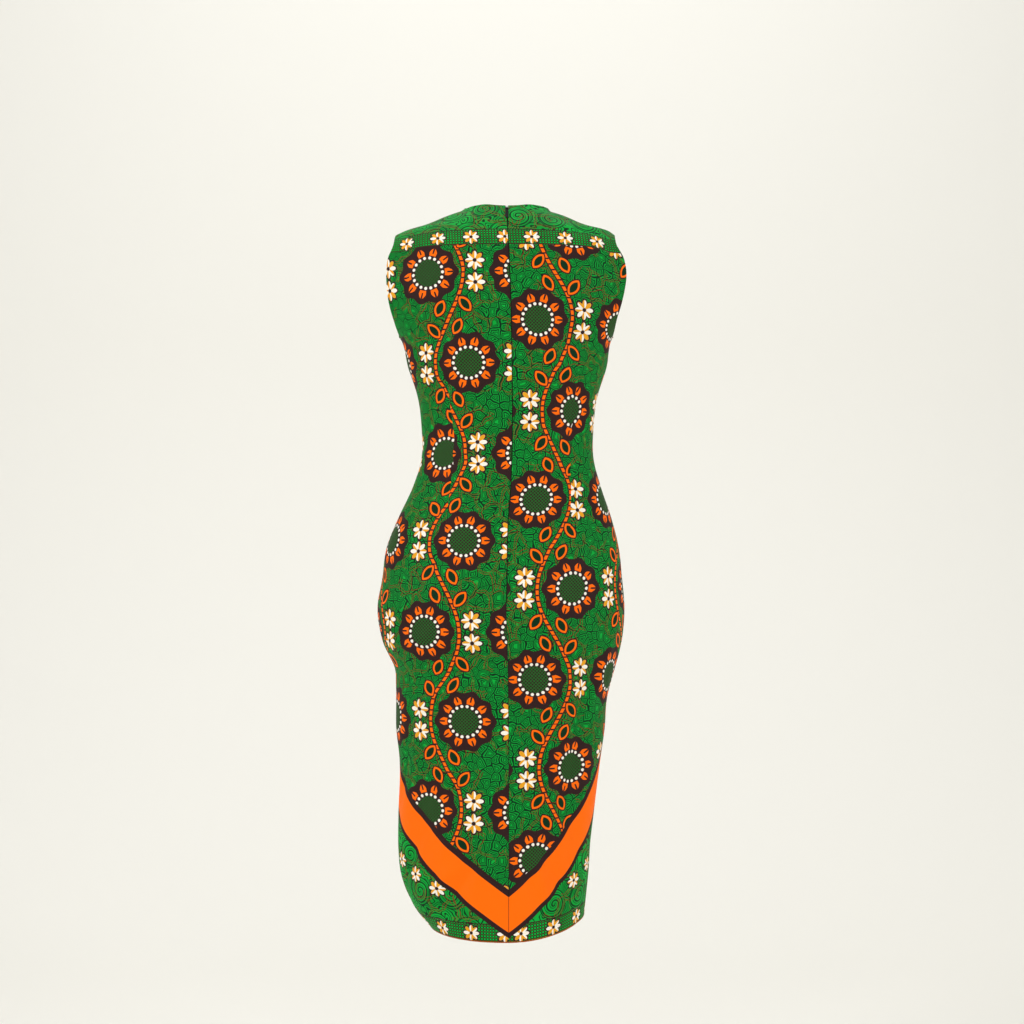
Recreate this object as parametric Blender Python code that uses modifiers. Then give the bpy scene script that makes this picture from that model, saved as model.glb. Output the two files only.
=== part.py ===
"""A sleeveless sheath dress of wax print cotton, hollow, as it hangs when worn.

Metres, +Z up. The front of the dress faces -Y and its back faces +Y, so the wearer's left is +X.
The origin is midway between the two neck points, where the shoulder seams meet the neckline.
Each panel is an open surface, the inside of the cloth, which Solidify thickens outwards.
"""
import math
from collections import namedtuple

import bmesh
import bpy
import numpy as np
from mathutils import Matrix, Vector

# Driving sizes
CLOTH = 0.0012              # wall of the cloth
SEAM_GAP = 0.0003           # between two pieces at a seam
NECK_POINT = 0.062          # from the middle to the neck point of each shoulder
BACK_NECK_DROP = 0.0075     # of the neckline below the neck points, behind
FRONT_NECK_DROP = 0.078     # and in front
SHOULDER_TIP = -0.046       # height of the shoulder seam's outer end
UNDERARM = -0.200           # height of the armhole's lowest point
HEM = -1.092                # height of the hem
LEFT_HEM_LIFT = 0.005       # the hem rides up by this at the left side seam
RIGHT_HEM_LIFT = 0.022      # and at the right one
LIFT_FALL_POWER = 6         # how quickly that lift fades up the skirt

# How finely the cloth is divided
COLUMNS = 14                # from a panel's middle to its side seam
NECK_COLUMNS = 6            # of those, the ones that end on the neckline
SKIRT_ROWS = 36             # from the hem to the underarm
BODICE_ROWS = 11            # from the underarm to the shoulder
DENSE = 400                 # points along a line before it is spaced evenly

# Zip, at the top of the centre back seam
ZIP_BOTTOM = -0.596         # height where the zip ends
TAPE_HALF_WIDTH = 0.011
TAPE_WALL = 0.0010
TAPE_GAP = 0.0005           # between the tape and the inside of the cloth
ZIP_TOP_OPENING = 0.0017    # half the gap between the back panels at the neckline
OPENING_LENGTH = 0.030      # how far down that gap closes to the seam's own
SLIDER_DEPTH = 0.0085       # of the slider's middle below the neckline, along the cloth

# Slider and pull, in the slider's own frame: x across, y out of the dress, z up along the cloth, with
# the origin on the inside of the cloth
SLIDER_BODY = (0.0068, 0.0032, 0.0100)
BRIDGE = (0.0016, 0.0034, 0.0076)
BRIDGE_TOP = 0.0015         # how far out the bridge reaches
BAIL_WIRE = 0.0012
BAIL_HALF_HEIGHT = 0.0026   # from the pivot to the middle of each foot
BAIL_REACH = 0.0048         # to the middle of the bail's outer bar
PIVOT_OUT = 0.0030          # of the pull's pivot from the inside of the cloth
PULL_WALL = 0.0012
PULL_BAR = 0.0012           # the bar of the pull that the bail holds
PULL_EYE_HALF = 0.0012
PULL_EYE_LENGTH = 0.0034
PULL_HALF_WIDTH = 0.0021
PULL_FOOT_HALF_WIDTH = 0.0025
PULL_LENGTH = 0.0215
PULL_FOOT_STARTS = 0.6      # share of the pull's length below which it may touch the cloth
REST_GAP = 0.0003           # between the pull's foot and the cloth
PULL_CORNER = 0.0006        # cut off each upper corner of the pull
SLIDER_EDGE = 0.0006        # rounding of the slider's body
BAIL_ROOT = 0.0006          # how deep the bail's feet stand in the bridge
WELD = 1e-6                 # points closer than this are one

Section = namedtuple("Section", "height half_width sway seam back_depth front_depth back_square front_square")

# The body of the dress, ring by ring. Above the underarm the ring is that of the whole shoulder, and the
# armhole is cut out of it. Sway moves a ring to the wearer's left, and seam is where the centre back
# seam crosses it. A square of 2 is an ellipse, and a higher one has fuller corners.
SECTIONS = [
    Section(0.000, 0.0620, 0.0015, 0.0010, 0.044, 0.020, 2.0, 2.0),
    Section(-0.009, 0.0695, 0.0020, 0.0008, 0.051, 0.030, 2.0, 2.0),
    Section(-0.0205, 0.0960, 0.0027, 0.0005, 0.062, 0.043, 2.0, 2.0),
    Section(-0.033, 0.1275, 0.0027, 0.0, 0.072, 0.052, 2.0, 2.0),
    Section(-0.0395, 0.1520, 0.0008, -0.0002, 0.076, 0.056, 2.0, 2.0),
    Section(-0.046, 0.1645, 0.0030, -0.0005, 0.080, 0.060, 2.0, 2.0),
    Section(-0.060, 0.1840, 0.0038, -0.0014, 0.087, 0.067, 2.1, 2.1),
    Section(-0.082, 0.1980, 0.0025, -0.0025, 0.096, 0.079, 2.2, 2.1),
    Section(-0.112, 0.2010, 0.0016, -0.0036, 0.103, 0.092, 2.2, 2.2),
    Section(-0.147, 0.1930, 0.0030, -0.0050, 0.106, 0.106, 2.2, 2.3),
    Section(-0.176, 0.1760, 0.0035, -0.0056, 0.105, 0.118, 2.2, 2.4),
    Section(-0.200, 0.1595, 0.0020, -0.0062, 0.103, 0.125, 2.2, 2.5),
    Section(-0.245, 0.1490, 0.0002, -0.0070, 0.098, 0.132, 2.2, 2.6),
    Section(-0.291, 0.1345, 0.0, -0.0073, 0.091, 0.127, 2.2, 2.5),
    Section(-0.336, 0.1290, 0.0, -0.0073, 0.084, 0.113, 2.2, 2.3),
    Section(-0.382, 0.1290, 0.0, -0.0066, 0.083, 0.101, 2.2, 2.2),
    Section(-0.427, 0.1415, 0.0010, -0.0050, 0.094, 0.100, 2.2, 2.2),
    Section(-0.473, 0.1600, 0.0040, -0.0015, 0.109, 0.103, 2.2, 2.2),
    Section(-0.518, 0.1745, 0.0073, 0.0, 0.122, 0.107, 2.2, 2.2),
    Section(-0.563, 0.1800, 0.0080, 0.0005, 0.131, 0.109, 2.3, 2.2),
    Section(-0.609, 0.1855, 0.0098, 0.0015, 0.133, 0.109, 2.3, 2.3),
    Section(-0.654, 0.1805, 0.0083, 0.0, 0.127, 0.107, 2.3, 2.3),
    Section(-0.700, 0.1660, 0.0045, -0.0010, 0.118, 0.104, 2.3, 2.3),
    Section(-0.745, 0.1585, 0.0090, -0.0015, 0.111, 0.101, 2.3, 2.3),
    Section(-0.791, 0.1565, 0.0105, -0.0020, 0.106, 0.099, 2.3, 2.3),
    Section(-0.836, 0.1510, 0.0112, -0.0022, 0.103, 0.097, 2.3, 2.3),
    Section(-0.927, 0.1465, 0.0175, -0.0022, 0.100, 0.096, 2.3, 2.3),
    Section(-0.973, 0.1440, 0.0200, -0.0022, 0.101, 0.097, 2.3, 2.3),
    Section(-1.018, 0.1400, 0.0185, -0.0020, 0.104, 0.100, 2.3, 2.3),
    Section(-1.063, 0.1280, 0.0106, -0.0020, 0.109, 0.104, 2.3, 2.3),
    Section(-1.092, 0.1150, 0.0, -0.0020, 0.113, 0.107, 2.2, 2.2),
]

ArmholeRow = namedtuple("ArmholeRow", "height back_reach front_reach")

# How far from the middle the cloth reaches along each armhole edge
ARMHOLE = [
    ArmholeRow(-0.046, 0.1645, 0.1645),
    ArmholeRow(-0.052, 0.1645, 0.1645),
    ArmholeRow(-0.066, 0.1660, 0.1645),
    ArmholeRow(-0.085, 0.1745, 0.1640),
    ArmholeRow(-0.101, 0.1775, 0.1640),
    ArmholeRow(-0.134, 0.1760, 0.1620),
    ArmholeRow(-0.157, 0.1715, 0.1605),
    ArmholeRow(-0.176, 0.1660, 0.1595),
    ArmholeRow(-0.190, 0.1625, 0.1595),
    ArmholeRow(-0.200, 0.1595, 0.1595),
]

Fold = namedtuple("Fold", "bearing height length width depth tilt")

# Soft folds. Bearing is in degrees round the dress from the wearer's left towards the back, tilt turns
# the fold's length from level, and a depth below zero is a trough.
FOLDS = [
    Fold(28, -0.686, 0.070, 0.016, -0.0045, 12),
    Fold(42, -0.651, 0.060, 0.018, 0.0030, 16),
    Fold(150, -0.690, 0.060, 0.016, -0.0030, -14),
    Fold(34, -0.921, 0.075, 0.016, -0.0045, 62),
    Fold(52, -0.956, 0.080, 0.018, 0.0030, 58),
    Fold(147, -0.800, 0.095, 0.014, -0.0070, 86),
    Fold(133, -0.785, 0.090, 0.018, 0.0030, 84),
    Fold(150, -0.935, 0.060, 0.014, -0.0030, -70),
    Fold(60, -0.391, 0.050, 0.012, -0.0030, 8),
    Fold(122, -0.396, 0.050, 0.012, -0.0030, -8),
    Fold(40, -0.201, 0.050, 0.014, -0.0030, 38),
    Fold(140, -0.201, 0.050, 0.014, -0.0030, -38),
    Fold(-62, -0.326, 0.060, 0.014, -0.0030, -16),
    Fold(-118, -0.326, 0.060, 0.014, -0.0030, 16),
    Fold(-60, -0.636, 0.090, 0.018, -0.0035, -6),
    Fold(-120, -0.651, 0.090, 0.018, -0.0035, 8),
    Fold(-75, -0.926, 0.100, 0.018, -0.0040, 84),
    Fold(-110, -0.896, 0.100, 0.018, 0.0035, -84),
]


def smooth_column(rows, name):
    """A smooth function of height through one column of a table."""
    ordered = sorted(rows, key=lambda row: row.height)
    heights = np.array([row.height for row in ordered])
    values = np.array([getattr(row, name) for row in ordered])
    slopes = np.gradient(values, heights)

    def value_at(height):
        height = np.clip(height, heights[0], heights[-1])
        low = np.clip(np.searchsorted(heights, height, side="right") - 1, 0, len(heights) - 2)
        step = heights[low + 1] - heights[low]
        t = (height - heights[low]) / step
        rise = values[low + 1] - values[low]
        start = slopes[low] * step
        end = slopes[low + 1] * step
        return values[low] + t * (start + t * (3 * rise - 2 * start - end + t * (start + end - 2 * rise)))

    return value_at


RING = {name: smooth_column(SECTIONS, name) for name in Section._fields if name != "height"}
REACH = {name: smooth_column(ARMHOLE, name) for name in ArmholeRow._fields if name != "height"}


def surface_depth(face, x, height):
    """How far behind (face +1) or before (face -1) the middle the inside of the cloth is at x."""
    side = "back" if face > 0 else "front"
    power = RING[side + "_square"](height)
    share = np.clip(np.abs(x - RING["sway"](height)) / RING["half_width"](height), 0.0, 1.0)
    depth = RING[side + "_depth"](height) * (1.0 - share ** power) ** (1.0 / power)
    return face * np.maximum(depth, SEAM_GAP / 2)


def spaced_evenly(points, count):
    """The points at count + 1 even steps along a line of many points."""
    steps = np.linalg.norm(np.diff(points, axis=0), axis=1)
    along = np.concatenate([[0.0], np.cumsum(steps)])
    wanted = np.linspace(0.0, along[-1], count + 1)
    return np.stack([np.interp(wanted, along, points[:, k]) for k in range(points.shape[1])], axis=1)


def middle_line(face, side, height):
    """x of a half panel's inner edge: the centre back seam behind, and the middle in front."""
    if face < 0:
        return RING["sway"](height)
    below_neck = np.clip((-BACK_NECK_DROP - height) / OPENING_LENGTH, 0.0, 1.0)
    half_gap = ZIP_TOP_OPENING + (SEAM_GAP / 2 - ZIP_TOP_OPENING) * below_neck
    return RING["seam"](height) + side * half_gap


def ring_half(face, side, height):
    """Points along one ring from a half panel's inner edge to its side seam, evenly spaced."""
    power = 2.0 / RING[("back" if face > 0 else "front") + "_square"](height)
    middle, reach = RING["sway"](height), RING["half_width"](height)
    start = side * (middle_line(face, side, height) - middle) / reach
    first = math.copysign(math.asin(abs(start) ** (1.0 / power)), start)
    angles = np.linspace(first, math.pi / 2, DENSE)
    x = middle + side * reach * np.sign(angles) * np.abs(np.sin(angles)) ** power
    heights = np.full(DENSE, height)
    return spaced_evenly(np.stack([x, surface_depth(face, x, heights), heights], axis=1), COLUMNS)


def lifted_hem(points):
    """Raises the lower rings towards both side seams, where the hem rides up."""
    lifted = points.copy()
    fall = np.clip((UNDERARM - points[..., 2]) / (UNDERARM - HEM), 0.0, 1.0)
    share = np.clip(points[..., 0] / RING["half_width"](HEM), -1.0, 1.0)
    lift = np.where(share < 0.0, RIGHT_HEM_LIFT, LEFT_HEM_LIFT)
    lifted[..., 2] += lift * fall ** LIFT_FALL_POWER * share ** 2
    return lifted


def top_edge(face, side):
    """x and height along the neckline and then the shoulder seam, one point for each column."""
    drop = BACK_NECK_DROP if face > 0 else FRONT_NECK_DROP
    turn = np.linspace(0.0, math.pi / 2, DENSE)
    neck_height = -drop * np.cos(turn)
    start = middle_line(face, side, -drop)
    neck_point = RING["sway"](0.0) + side * NECK_POINT
    neck_x = start + (neck_point - start) * np.sin(turn)
    shoulder_height = np.linspace(0.0, SHOULDER_TIP, DENSE)
    shoulder_x = RING["sway"](shoulder_height) + side * RING["half_width"](shoulder_height)
    runs = []
    for x, height, count in ((neck_x, neck_height, NECK_COLUMNS),
                             (shoulder_x, shoulder_height, COLUMNS - NECK_COLUMNS)):
        depth = surface_depth(face, x, height)
        runs.append(spaced_evenly(np.stack([x, depth, height], axis=1), count))
    return np.concatenate([runs[0], runs[1][1:]])[:, [0, 2]]


def bodice_half(face, side):
    """Rows of points from the underarm ring up to the neckline and shoulder seam."""
    bottom = ring_half(face, side, UNDERARM)[:, [0, 2]]
    top = top_edge(face, side)
    # The steps crowd towards both ends, where the cloth turns over the shoulder and under the arm.
    climb = (1.0 - np.cos(np.linspace(0.0, math.pi, DENSE))) / 2
    middle_height = bottom[0, 1] + (top[0, 1] - bottom[0, 1]) * climb
    middle = np.stack([middle_line(face, side, middle_height), middle_height], axis=1)
    arm_height = bottom[-1, 1] + (top[-1, 1] - bottom[-1, 1]) * climb
    reach = REACH["back_reach" if face > 0 else "front_reach"](arm_height)
    armhole = np.stack([RING["sway"](arm_height) + side * reach, arm_height], axis=1)
    columns = []
    for column in range(COLUMNS + 1):
        s = column / COLUMNS
        t = climb[:, None]
        across = (1 - s) * middle + s * armhole
        up = (1 - t) * bottom[column] + t * top[column]
        corners = ((1 - s) * (1 - t) * bottom[0] + s * (1 - t) * bottom[-1]
                   + (1 - s) * t * top[0] + s * t * top[-1])
        flat = across + up - corners
        depth = surface_depth(face, flat[:, 0], flat[:, 1])
        columns.append(spaced_evenly(np.stack([flat[:, 0], depth, flat[:, 1]], axis=1), BODICE_ROWS))
    return np.stack(columns, axis=1)


def folded(points):
    """Pushes the soft folds in and out, level, away from the middle of the dress."""
    middle = RING["sway"](points[..., 2])
    x, y = points[..., 0] - middle, points[..., 1]
    reach = np.hypot(x, y)
    push = np.zeros(reach.shape)
    for fold in FOLDS:
        apart = np.arctan2(y, x) - math.radians(fold.bearing)
        around = reach * np.arctan2(np.sin(apart), np.cos(apart))
        up = points[..., 2] - fold.height
        tilt = math.radians(fold.tilt)
        along = around * math.cos(tilt) + up * math.sin(tilt)
        across = up * math.cos(tilt) - around * math.sin(tilt)
        push += fold.depth * np.exp(-(along / fold.length) ** 2 - (across / fold.width) ** 2)
    moved = points.copy()
    moved[..., 0] += push * x / reach
    moved[..., 1] += push * y / reach
    return moved


def half_panel(face, side):
    """Rows of points of half the front or back, from the hem up, each from the middle to the side."""
    rings = [ring_half(face, side, height) for height in np.linspace(HEM, UNDERARM, SKIRT_ROWS + 1)]
    skirt = lifted_hem(np.stack(rings))
    return folded(np.concatenate([skirt, bodice_half(face, side)[1:]]))


def coloured(name, colour, roughness, metallic=0.0):
    """A Principled material."""
    material = bpy.data.materials.new(name)
    material.use_nodes = True
    shader = material.node_tree.nodes["Principled BSDF"]
    shader.inputs["Base Color"].default_value = (*colour, 1.0)
    shader.inputs["Roughness"].default_value = roughness
    shader.inputs["Metallic"].default_value = metallic
    material.diffuse_color = (*colour, 1.0)
    return material


def cloth_object(name, grid, wall, outwards, material, collection):
    """A sheet of quads through a grid of points, thickened to one side."""
    rows, columns = grid.shape[:2]
    sheet = bmesh.new()
    vertices = [[sheet.verts.new(grid[i, j]) for j in range(columns)] for i in range(rows)]
    for i in range(rows - 1):
        for j in range(columns - 1):
            sheet.faces.new((vertices[i][j], vertices[i][j + 1], vertices[i + 1][j + 1], vertices[i + 1][j]))
    mesh = bpy.data.meshes.new(name)
    sheet.to_mesh(mesh)
    sheet.free()
    mesh.shade_smooth()
    mesh.materials.append(material)
    made = bpy.data.objects.new(name, mesh)
    collection.objects.link(made)
    solidify = made.modifiers.new("Wall", "SOLIDIFY")
    solidify.thickness = wall
    solidify.offset = 1.0 if outwards else -1.0
    return made


def build_panels(cloth, collection):
    """The front and the two back panels. Returns the two back grids, which the zip follows."""
    left_front, right_front = half_panel(-1, 1), half_panel(-1, -1)
    front = np.concatenate([right_front[:, ::-1], left_front[:, 1:]], axis=1)
    cloth_object("front_panel", front, CLOTH, True, cloth, collection)
    left_back, right_back = half_panel(1, 1), half_panel(1, -1)
    cloth_object("back_panel_left", left_back[:, ::-1], CLOTH, True, cloth, collection)
    cloth_object("back_panel_right", right_back, CLOTH, True, cloth, collection)
    return left_back, right_back


def seam_line(left_back, right_back):
    """Points down the middle of the centre back seam, on the inside of the cloth, from the top."""
    return ((left_back[:, 0] + right_back[:, 0]) / 2)[::-1]


def outward_of(line):
    """At each point of the seam, the direction out of the dress."""
    down = np.gradient(line, axis=0)
    outward = np.stack([np.zeros(len(line)), -down[:, 2], down[:, 1]], axis=1)
    return outward / np.linalg.norm(outward, axis=1)[:, None]


def tape_edge(grid):
    """Points of the tape's outer edge, from the top, on the inside of one back panel."""
    inner, outer = grid[::-1, 0], grid[::-1, 1]
    across = outer - inner
    return inner + TAPE_HALF_WIDTH / np.linalg.norm(across, axis=1)[:, None] * across


def build_tape(left_back, right_back, tape, collection):
    """Both tapes of the closed zip as one strip, behind the seam, made from the panels' points."""
    middle = seam_line(left_back, right_back)
    outward = outward_of(middle)
    edges = [tape_edge(left_back), middle, tape_edge(right_back)]
    strip = np.stack(edges, axis=1) - (TAPE_GAP * outward)[:, None]
    along = np.concatenate([[0.0], np.cumsum(np.linalg.norm(np.diff(middle, axis=0), axis=1))])
    start = SLIDER_DEPTH + SLIDER_BODY[2] / 2 + SEAM_GAP
    kept = [i for i in range(len(middle)) if along[i] > start and middle[i, 2] > ZIP_BOTTOM]
    first = kept[0]
    share = (start - along[first - 1]) / (along[first] - along[first - 1])
    top = strip[first - 1] + share * (strip[first] - strip[first - 1])
    grid = np.concatenate([top[None], strip[kept]])
    cloth_object("zip_tape", grid[::-1], TAPE_WALL, False, tape, collection)


def slider_frame(left_back, right_back):
    """The slider's frame as a matrix: where it sits on the seam, and how the cloth slopes there."""
    line = seam_line(left_back, right_back)
    down = Vector(line[1] - line[0]).normalized()
    place = Vector(line[0]) + down * SLIDER_DEPTH
    up = Vector((0.0, -down.y, -down.z)).normalized()
    across = Vector((1.0, 0.0, 0.0))
    outward = up.cross(across)
    return Matrix.Translation(place) @ Matrix((across, outward, up)).transposed().to_4x4()


def block(name, size, centre, collection):
    """A box with its scale applied."""
    bpy.ops.mesh.primitive_cube_add(size=1.0)
    made = bpy.context.active_object
    made.name = name
    made.data.transform(Matrix.Translation(centre) @ Matrix.Diagonal((*size, 1.0)))
    for holder in made.users_collection:
        holder.objects.unlink(made)
    collection.objects.link(made)
    return made


def wire_mesh(name, points, radius, collection):
    """A bent wire of round section with closed ends, as a mesh object."""
    curve = bpy.data.curves.new(name, "CURVE")
    curve.dimensions = "3D"
    curve.bevel_depth = radius
    curve.bevel_resolution = 2
    curve.use_fill_caps = True
    spline = curve.splines.new("POLY")
    spline.points.add(len(points) - 1)
    for point, place in zip(spline.points, points):
        point.co = (*place, 1.0)
    wire = bpy.data.objects.new(name, curve)
    collection.objects.link(wire)
    graph = bpy.context.evaluated_depsgraph_get()
    mesh = bpy.data.meshes.new_from_object(wire.evaluated_get(graph))
    bpy.data.objects.remove(wire)
    welded = bmesh.new()
    welded.from_mesh(mesh)
    bmesh.ops.remove_doubles(welded, verts=welded.verts, dist=WELD)
    welded.to_mesh(mesh)
    welded.free()
    made = bpy.data.objects.new(name, mesh)
    collection.objects.link(made)
    return made


def joined(target, others):
    """Boolean unions, applied, so that the pieces become one body."""
    for other in others:
        union = target.modifiers.new("Join", "BOOLEAN")
        union.operation = "UNION"
        union.solver = "EXACT"
        union.object = other
    graph = bpy.context.evaluated_depsgraph_get()
    mesh = bpy.data.meshes.new_from_object(target.evaluated_get(graph))
    target.modifiers.clear()
    target.data = mesh
    for other in others:
        bpy.data.objects.remove(other)
    return target


def build_slider(frame, metal, collection):
    """The slider: a body inside, a bridge through the seam and a bail outside."""
    body_middle = -TAPE_GAP - SLIDER_BODY[1] / 2
    body = block("zip_slider", SLIDER_BODY, (0.0, body_middle, 0.0), collection)
    bevel = body.modifiers.new("Round", "BEVEL")
    bevel.width = SLIDER_EDGE
    bevel.segments = 2
    bridge = block("bridge", BRIDGE, (0.0, BRIDGE_TOP - BRIDGE[1] / 2, 0.0), collection)
    corner = BAIL_WIRE
    foot, reach = BAIL_HALF_HEIGHT, BAIL_REACH
    route = [(0.0, BRIDGE_TOP - BAIL_ROOT, -foot), (0.0, reach - corner, -foot)]
    for step in range(1, 5):
        turn = step * math.pi / 8
        route.append((0.0, reach - corner + corner * math.sin(turn), -foot + corner * (1 - math.cos(turn))))
    route += [(x, y, -z) for x, y, z in reversed(route)]
    bail = wire_mesh("bail", route, BAIL_WIRE / 2, collection)
    slider = joined(body, [bridge, bail])
    slider.data.materials.clear()
    slider.data.materials.append(metal)
    slider.matrix_world = frame
    return slider


def pull_lean(frame, left_back, right_back):
    """The angle by which the pull leans in, until its foot is just clear of the cloth."""
    line = [frame.inverted() @ Vector(point) for point in seam_line(left_back, right_back)]
    drop, out = [-point.z for point in line], [point.y for point in line]
    foot = np.linspace(PULL_FOOT_STARTS, 1.0, 9) * PULL_LENGTH
    face = CLOTH + np.interp(foot, drop, out).max()
    return math.asin((PIVOT_OUT - PULL_WALL / 2 - face - REST_GAP) / PULL_LENGTH)


def build_pull(frame, lean, metal, collection):
    """The pull: a flat tab with an eye, hanging from the bail. Its origin is on its hinge's axis."""
    curve = bpy.data.curves.new("zip_pull", "CURVE")
    curve.dimensions = "2D"
    curve.fill_mode = "BOTH"
    curve.extrude = PULL_WALL / 2
    top = PULL_BAR / 2
    eye = [(-PULL_EYE_HALF, -top), (PULL_EYE_HALF, -top),
           (PULL_EYE_HALF, -top - PULL_EYE_LENGTH), (-PULL_EYE_HALF, -top - PULL_EYE_LENGTH)]
    neck = PULL_HALF_WIDTH
    foot = PULL_FOOT_HALF_WIDTH
    rounding = [(foot * math.cos(turn), -PULL_LENGTH + foot - foot * math.sin(turn))
                for turn in np.linspace(0.0, math.pi, 9)]
    cut = PULL_CORNER
    outline = [(-neck + cut, top), (neck - cut, top), (neck, top - cut)] + rounding + [(-neck, top - cut)]
    for points in (outline, eye):
        spline = curve.splines.new("POLY")
        spline.points.add(len(points) - 1)
        for point, (x, y) in zip(spline.points, points):
            point.co = (x, y, 0.0, 1.0)
        spline.use_cyclic_u = True
    curve.materials.append(metal)
    pull = bpy.data.objects.new("zip_pull", curve)
    collection.objects.link(pull)
    upright = Matrix.Rotation(math.pi / 2 - lean, 4, "X")
    pull.matrix_world = frame @ Matrix.Translation((0.0, PIVOT_OUT, 0.0)) @ upright
    return pull


def main():
    for old in list(bpy.data.objects):
        bpy.data.objects.remove(old)
    collection = bpy.data.collections.new("wax_print_dress")
    bpy.context.scene.collection.children.link(collection)
    cloth = coloured("wax_print_cotton", (0.0, 0.31, 0.055), 0.72)
    tape = coloured("zip_tape_black", (0.015, 0.018, 0.015), 0.85)
    metal = coloured("zip_enamel_black", (0.010, 0.012, 0.010), 0.35, 0.6)
    left_back, right_back = build_panels(cloth, collection)
    build_tape(left_back, right_back, tape, collection)
    frame = slider_frame(left_back, right_back)
    build_slider(frame, metal, collection)
    lean = pull_lean(frame, left_back, right_back)
    pull = build_pull(frame, lean, metal, collection)
    bpy.context.view_layer.update()
    print("pull pivot", [round(v, 5) for v in pull.matrix_world.translation], "lean", round(lean, 4))


main()
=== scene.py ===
# %% [markdown]
# # A wax print dress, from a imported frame
# This lesson dresses the plain solids of a sleeveless cotton sheath in real cloth. The solids come first, as
# a fixed frame. Nothing here moves them: each new piece is laid on the place of the one that it stands for.

# %% Load the frame
import math
from collections import namedtuple
from functools import partialmethod

import bpy
import numpy as np
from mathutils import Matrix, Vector


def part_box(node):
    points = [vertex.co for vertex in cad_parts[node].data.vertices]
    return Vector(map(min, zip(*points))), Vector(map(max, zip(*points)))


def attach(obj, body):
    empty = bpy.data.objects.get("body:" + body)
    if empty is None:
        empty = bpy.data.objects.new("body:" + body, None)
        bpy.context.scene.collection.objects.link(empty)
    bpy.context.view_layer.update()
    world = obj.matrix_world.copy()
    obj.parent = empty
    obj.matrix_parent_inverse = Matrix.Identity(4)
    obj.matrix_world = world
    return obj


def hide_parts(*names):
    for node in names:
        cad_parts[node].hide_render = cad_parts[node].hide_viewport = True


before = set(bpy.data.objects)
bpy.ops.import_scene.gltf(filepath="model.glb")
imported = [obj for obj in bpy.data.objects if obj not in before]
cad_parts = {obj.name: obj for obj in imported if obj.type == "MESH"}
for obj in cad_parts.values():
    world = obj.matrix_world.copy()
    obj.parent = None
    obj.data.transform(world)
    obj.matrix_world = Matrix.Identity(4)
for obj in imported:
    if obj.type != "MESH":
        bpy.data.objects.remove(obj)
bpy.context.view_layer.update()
scene = bpy.context.scene


def add_object(name, data):
    """Puts an object with this data into the scene."""
    made = bpy.data.objects.new(name, data)
    scene.collection.objects.link(made)
    return made


# %% [markdown]
# ## Camera
# The dress was photographed from behind with a level camera about three metres away. A level camera keeps the
# side seams from leaning together, so the hem shows as a curve only because it is far below the lens. The
# lens follows from how many pixels one metre of the dress takes up in the middle of the picture.

# %% Stand the camera behind the dress
CAMERA_DISTANCE = 3.0
PIXELS_TO_THE_METRE = 660.0
IMAGE_WIDTH = 1024.0
LENS_HEIGHT = -0.4636  # below the neck points, which are at 0
LENS_ASIDE = -0.0068  # to the wearer's right

view = bpy.data.cameras.new("photo_view")
view.sensor_width = 36.0
view.lens = view.sensor_width * PIXELS_TO_THE_METRE * CAMERA_DISTANCE / IMAGE_WIDTH
camera = add_object("photo_view", view)
camera.location = (LENS_ASIDE, CAMERA_DISTANCE, LENS_HEIGHT)
camera.rotation_euler = (math.pi / 2, 0.0, math.pi)
scene.camera = camera
print(f"lens {view.lens:.1f} mm")

# %% [markdown]
# ## Studio
# The paper backdrop is one sheet that runs along the floor and curves up behind, so no corner shows. It could
# be two planes, but then a line would cross the picture. Soft light comes from large panels on both sides of
# the camera, with two more above. A pale world fills the shade, which keeps the print's colours clear.

# %% Roll out the backdrop
FLOOR = -1.46  # where a wearer's heels would be
PAPER_FRONT = 4.5
SWEEP_START = -1.3  # the floor's back edge, behind the dress as the camera sees it
SWEEP_RADIUS = 1.5
SWEEP_STEPS = 24
PAPER_WIDTH = 9.0
PAPER_TOP = 3.2
PAPER = (0.88, 0.87, 0.82, 1.0)
PAPER_ROUGHNESS = 0.9


def backdrop_profile():
    """Points along the paper from in front of the camera to the top, as (y, z)."""
    points = [(PAPER_FRONT, FLOOR), (SWEEP_START, FLOOR)]
    for step in range(1, SWEEP_STEPS + 1):
        turn = math.pi / 2 * step / SWEEP_STEPS
        rise = SWEEP_RADIUS * (1 - math.cos(turn))
        points.append((SWEEP_START - SWEEP_RADIUS * math.sin(turn), FLOOR + rise))
    points.append((SWEEP_START - SWEEP_RADIUS, PAPER_TOP))
    return points


profile = backdrop_profile()
corners = [(side * PAPER_WIDTH / 2, y, z) for y, z in profile for side in (-1, 1)]
strips = [(2 * i, 2 * i + 1, 2 * i + 3, 2 * i + 2) for i in range(len(profile) - 1)]
paper_mesh = bpy.data.meshes.new("studio_paper")
paper_mesh.from_pydata(corners, [], strips)
paper_mesh.shade_smooth()
studio_paper = add_object("studio_paper", paper_mesh)
paper = bpy.data.materials.new("studio_paper")
paper.use_nodes = True
paper_look = paper.node_tree.nodes["Principled BSDF"].inputs
paper_look["Base Color"].default_value = PAPER
paper_look["Roughness"].default_value = PAPER_ROUGHNESS
paper_mesh.materials.append(paper)
print("backdrop", len(strips), "strips")

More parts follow.
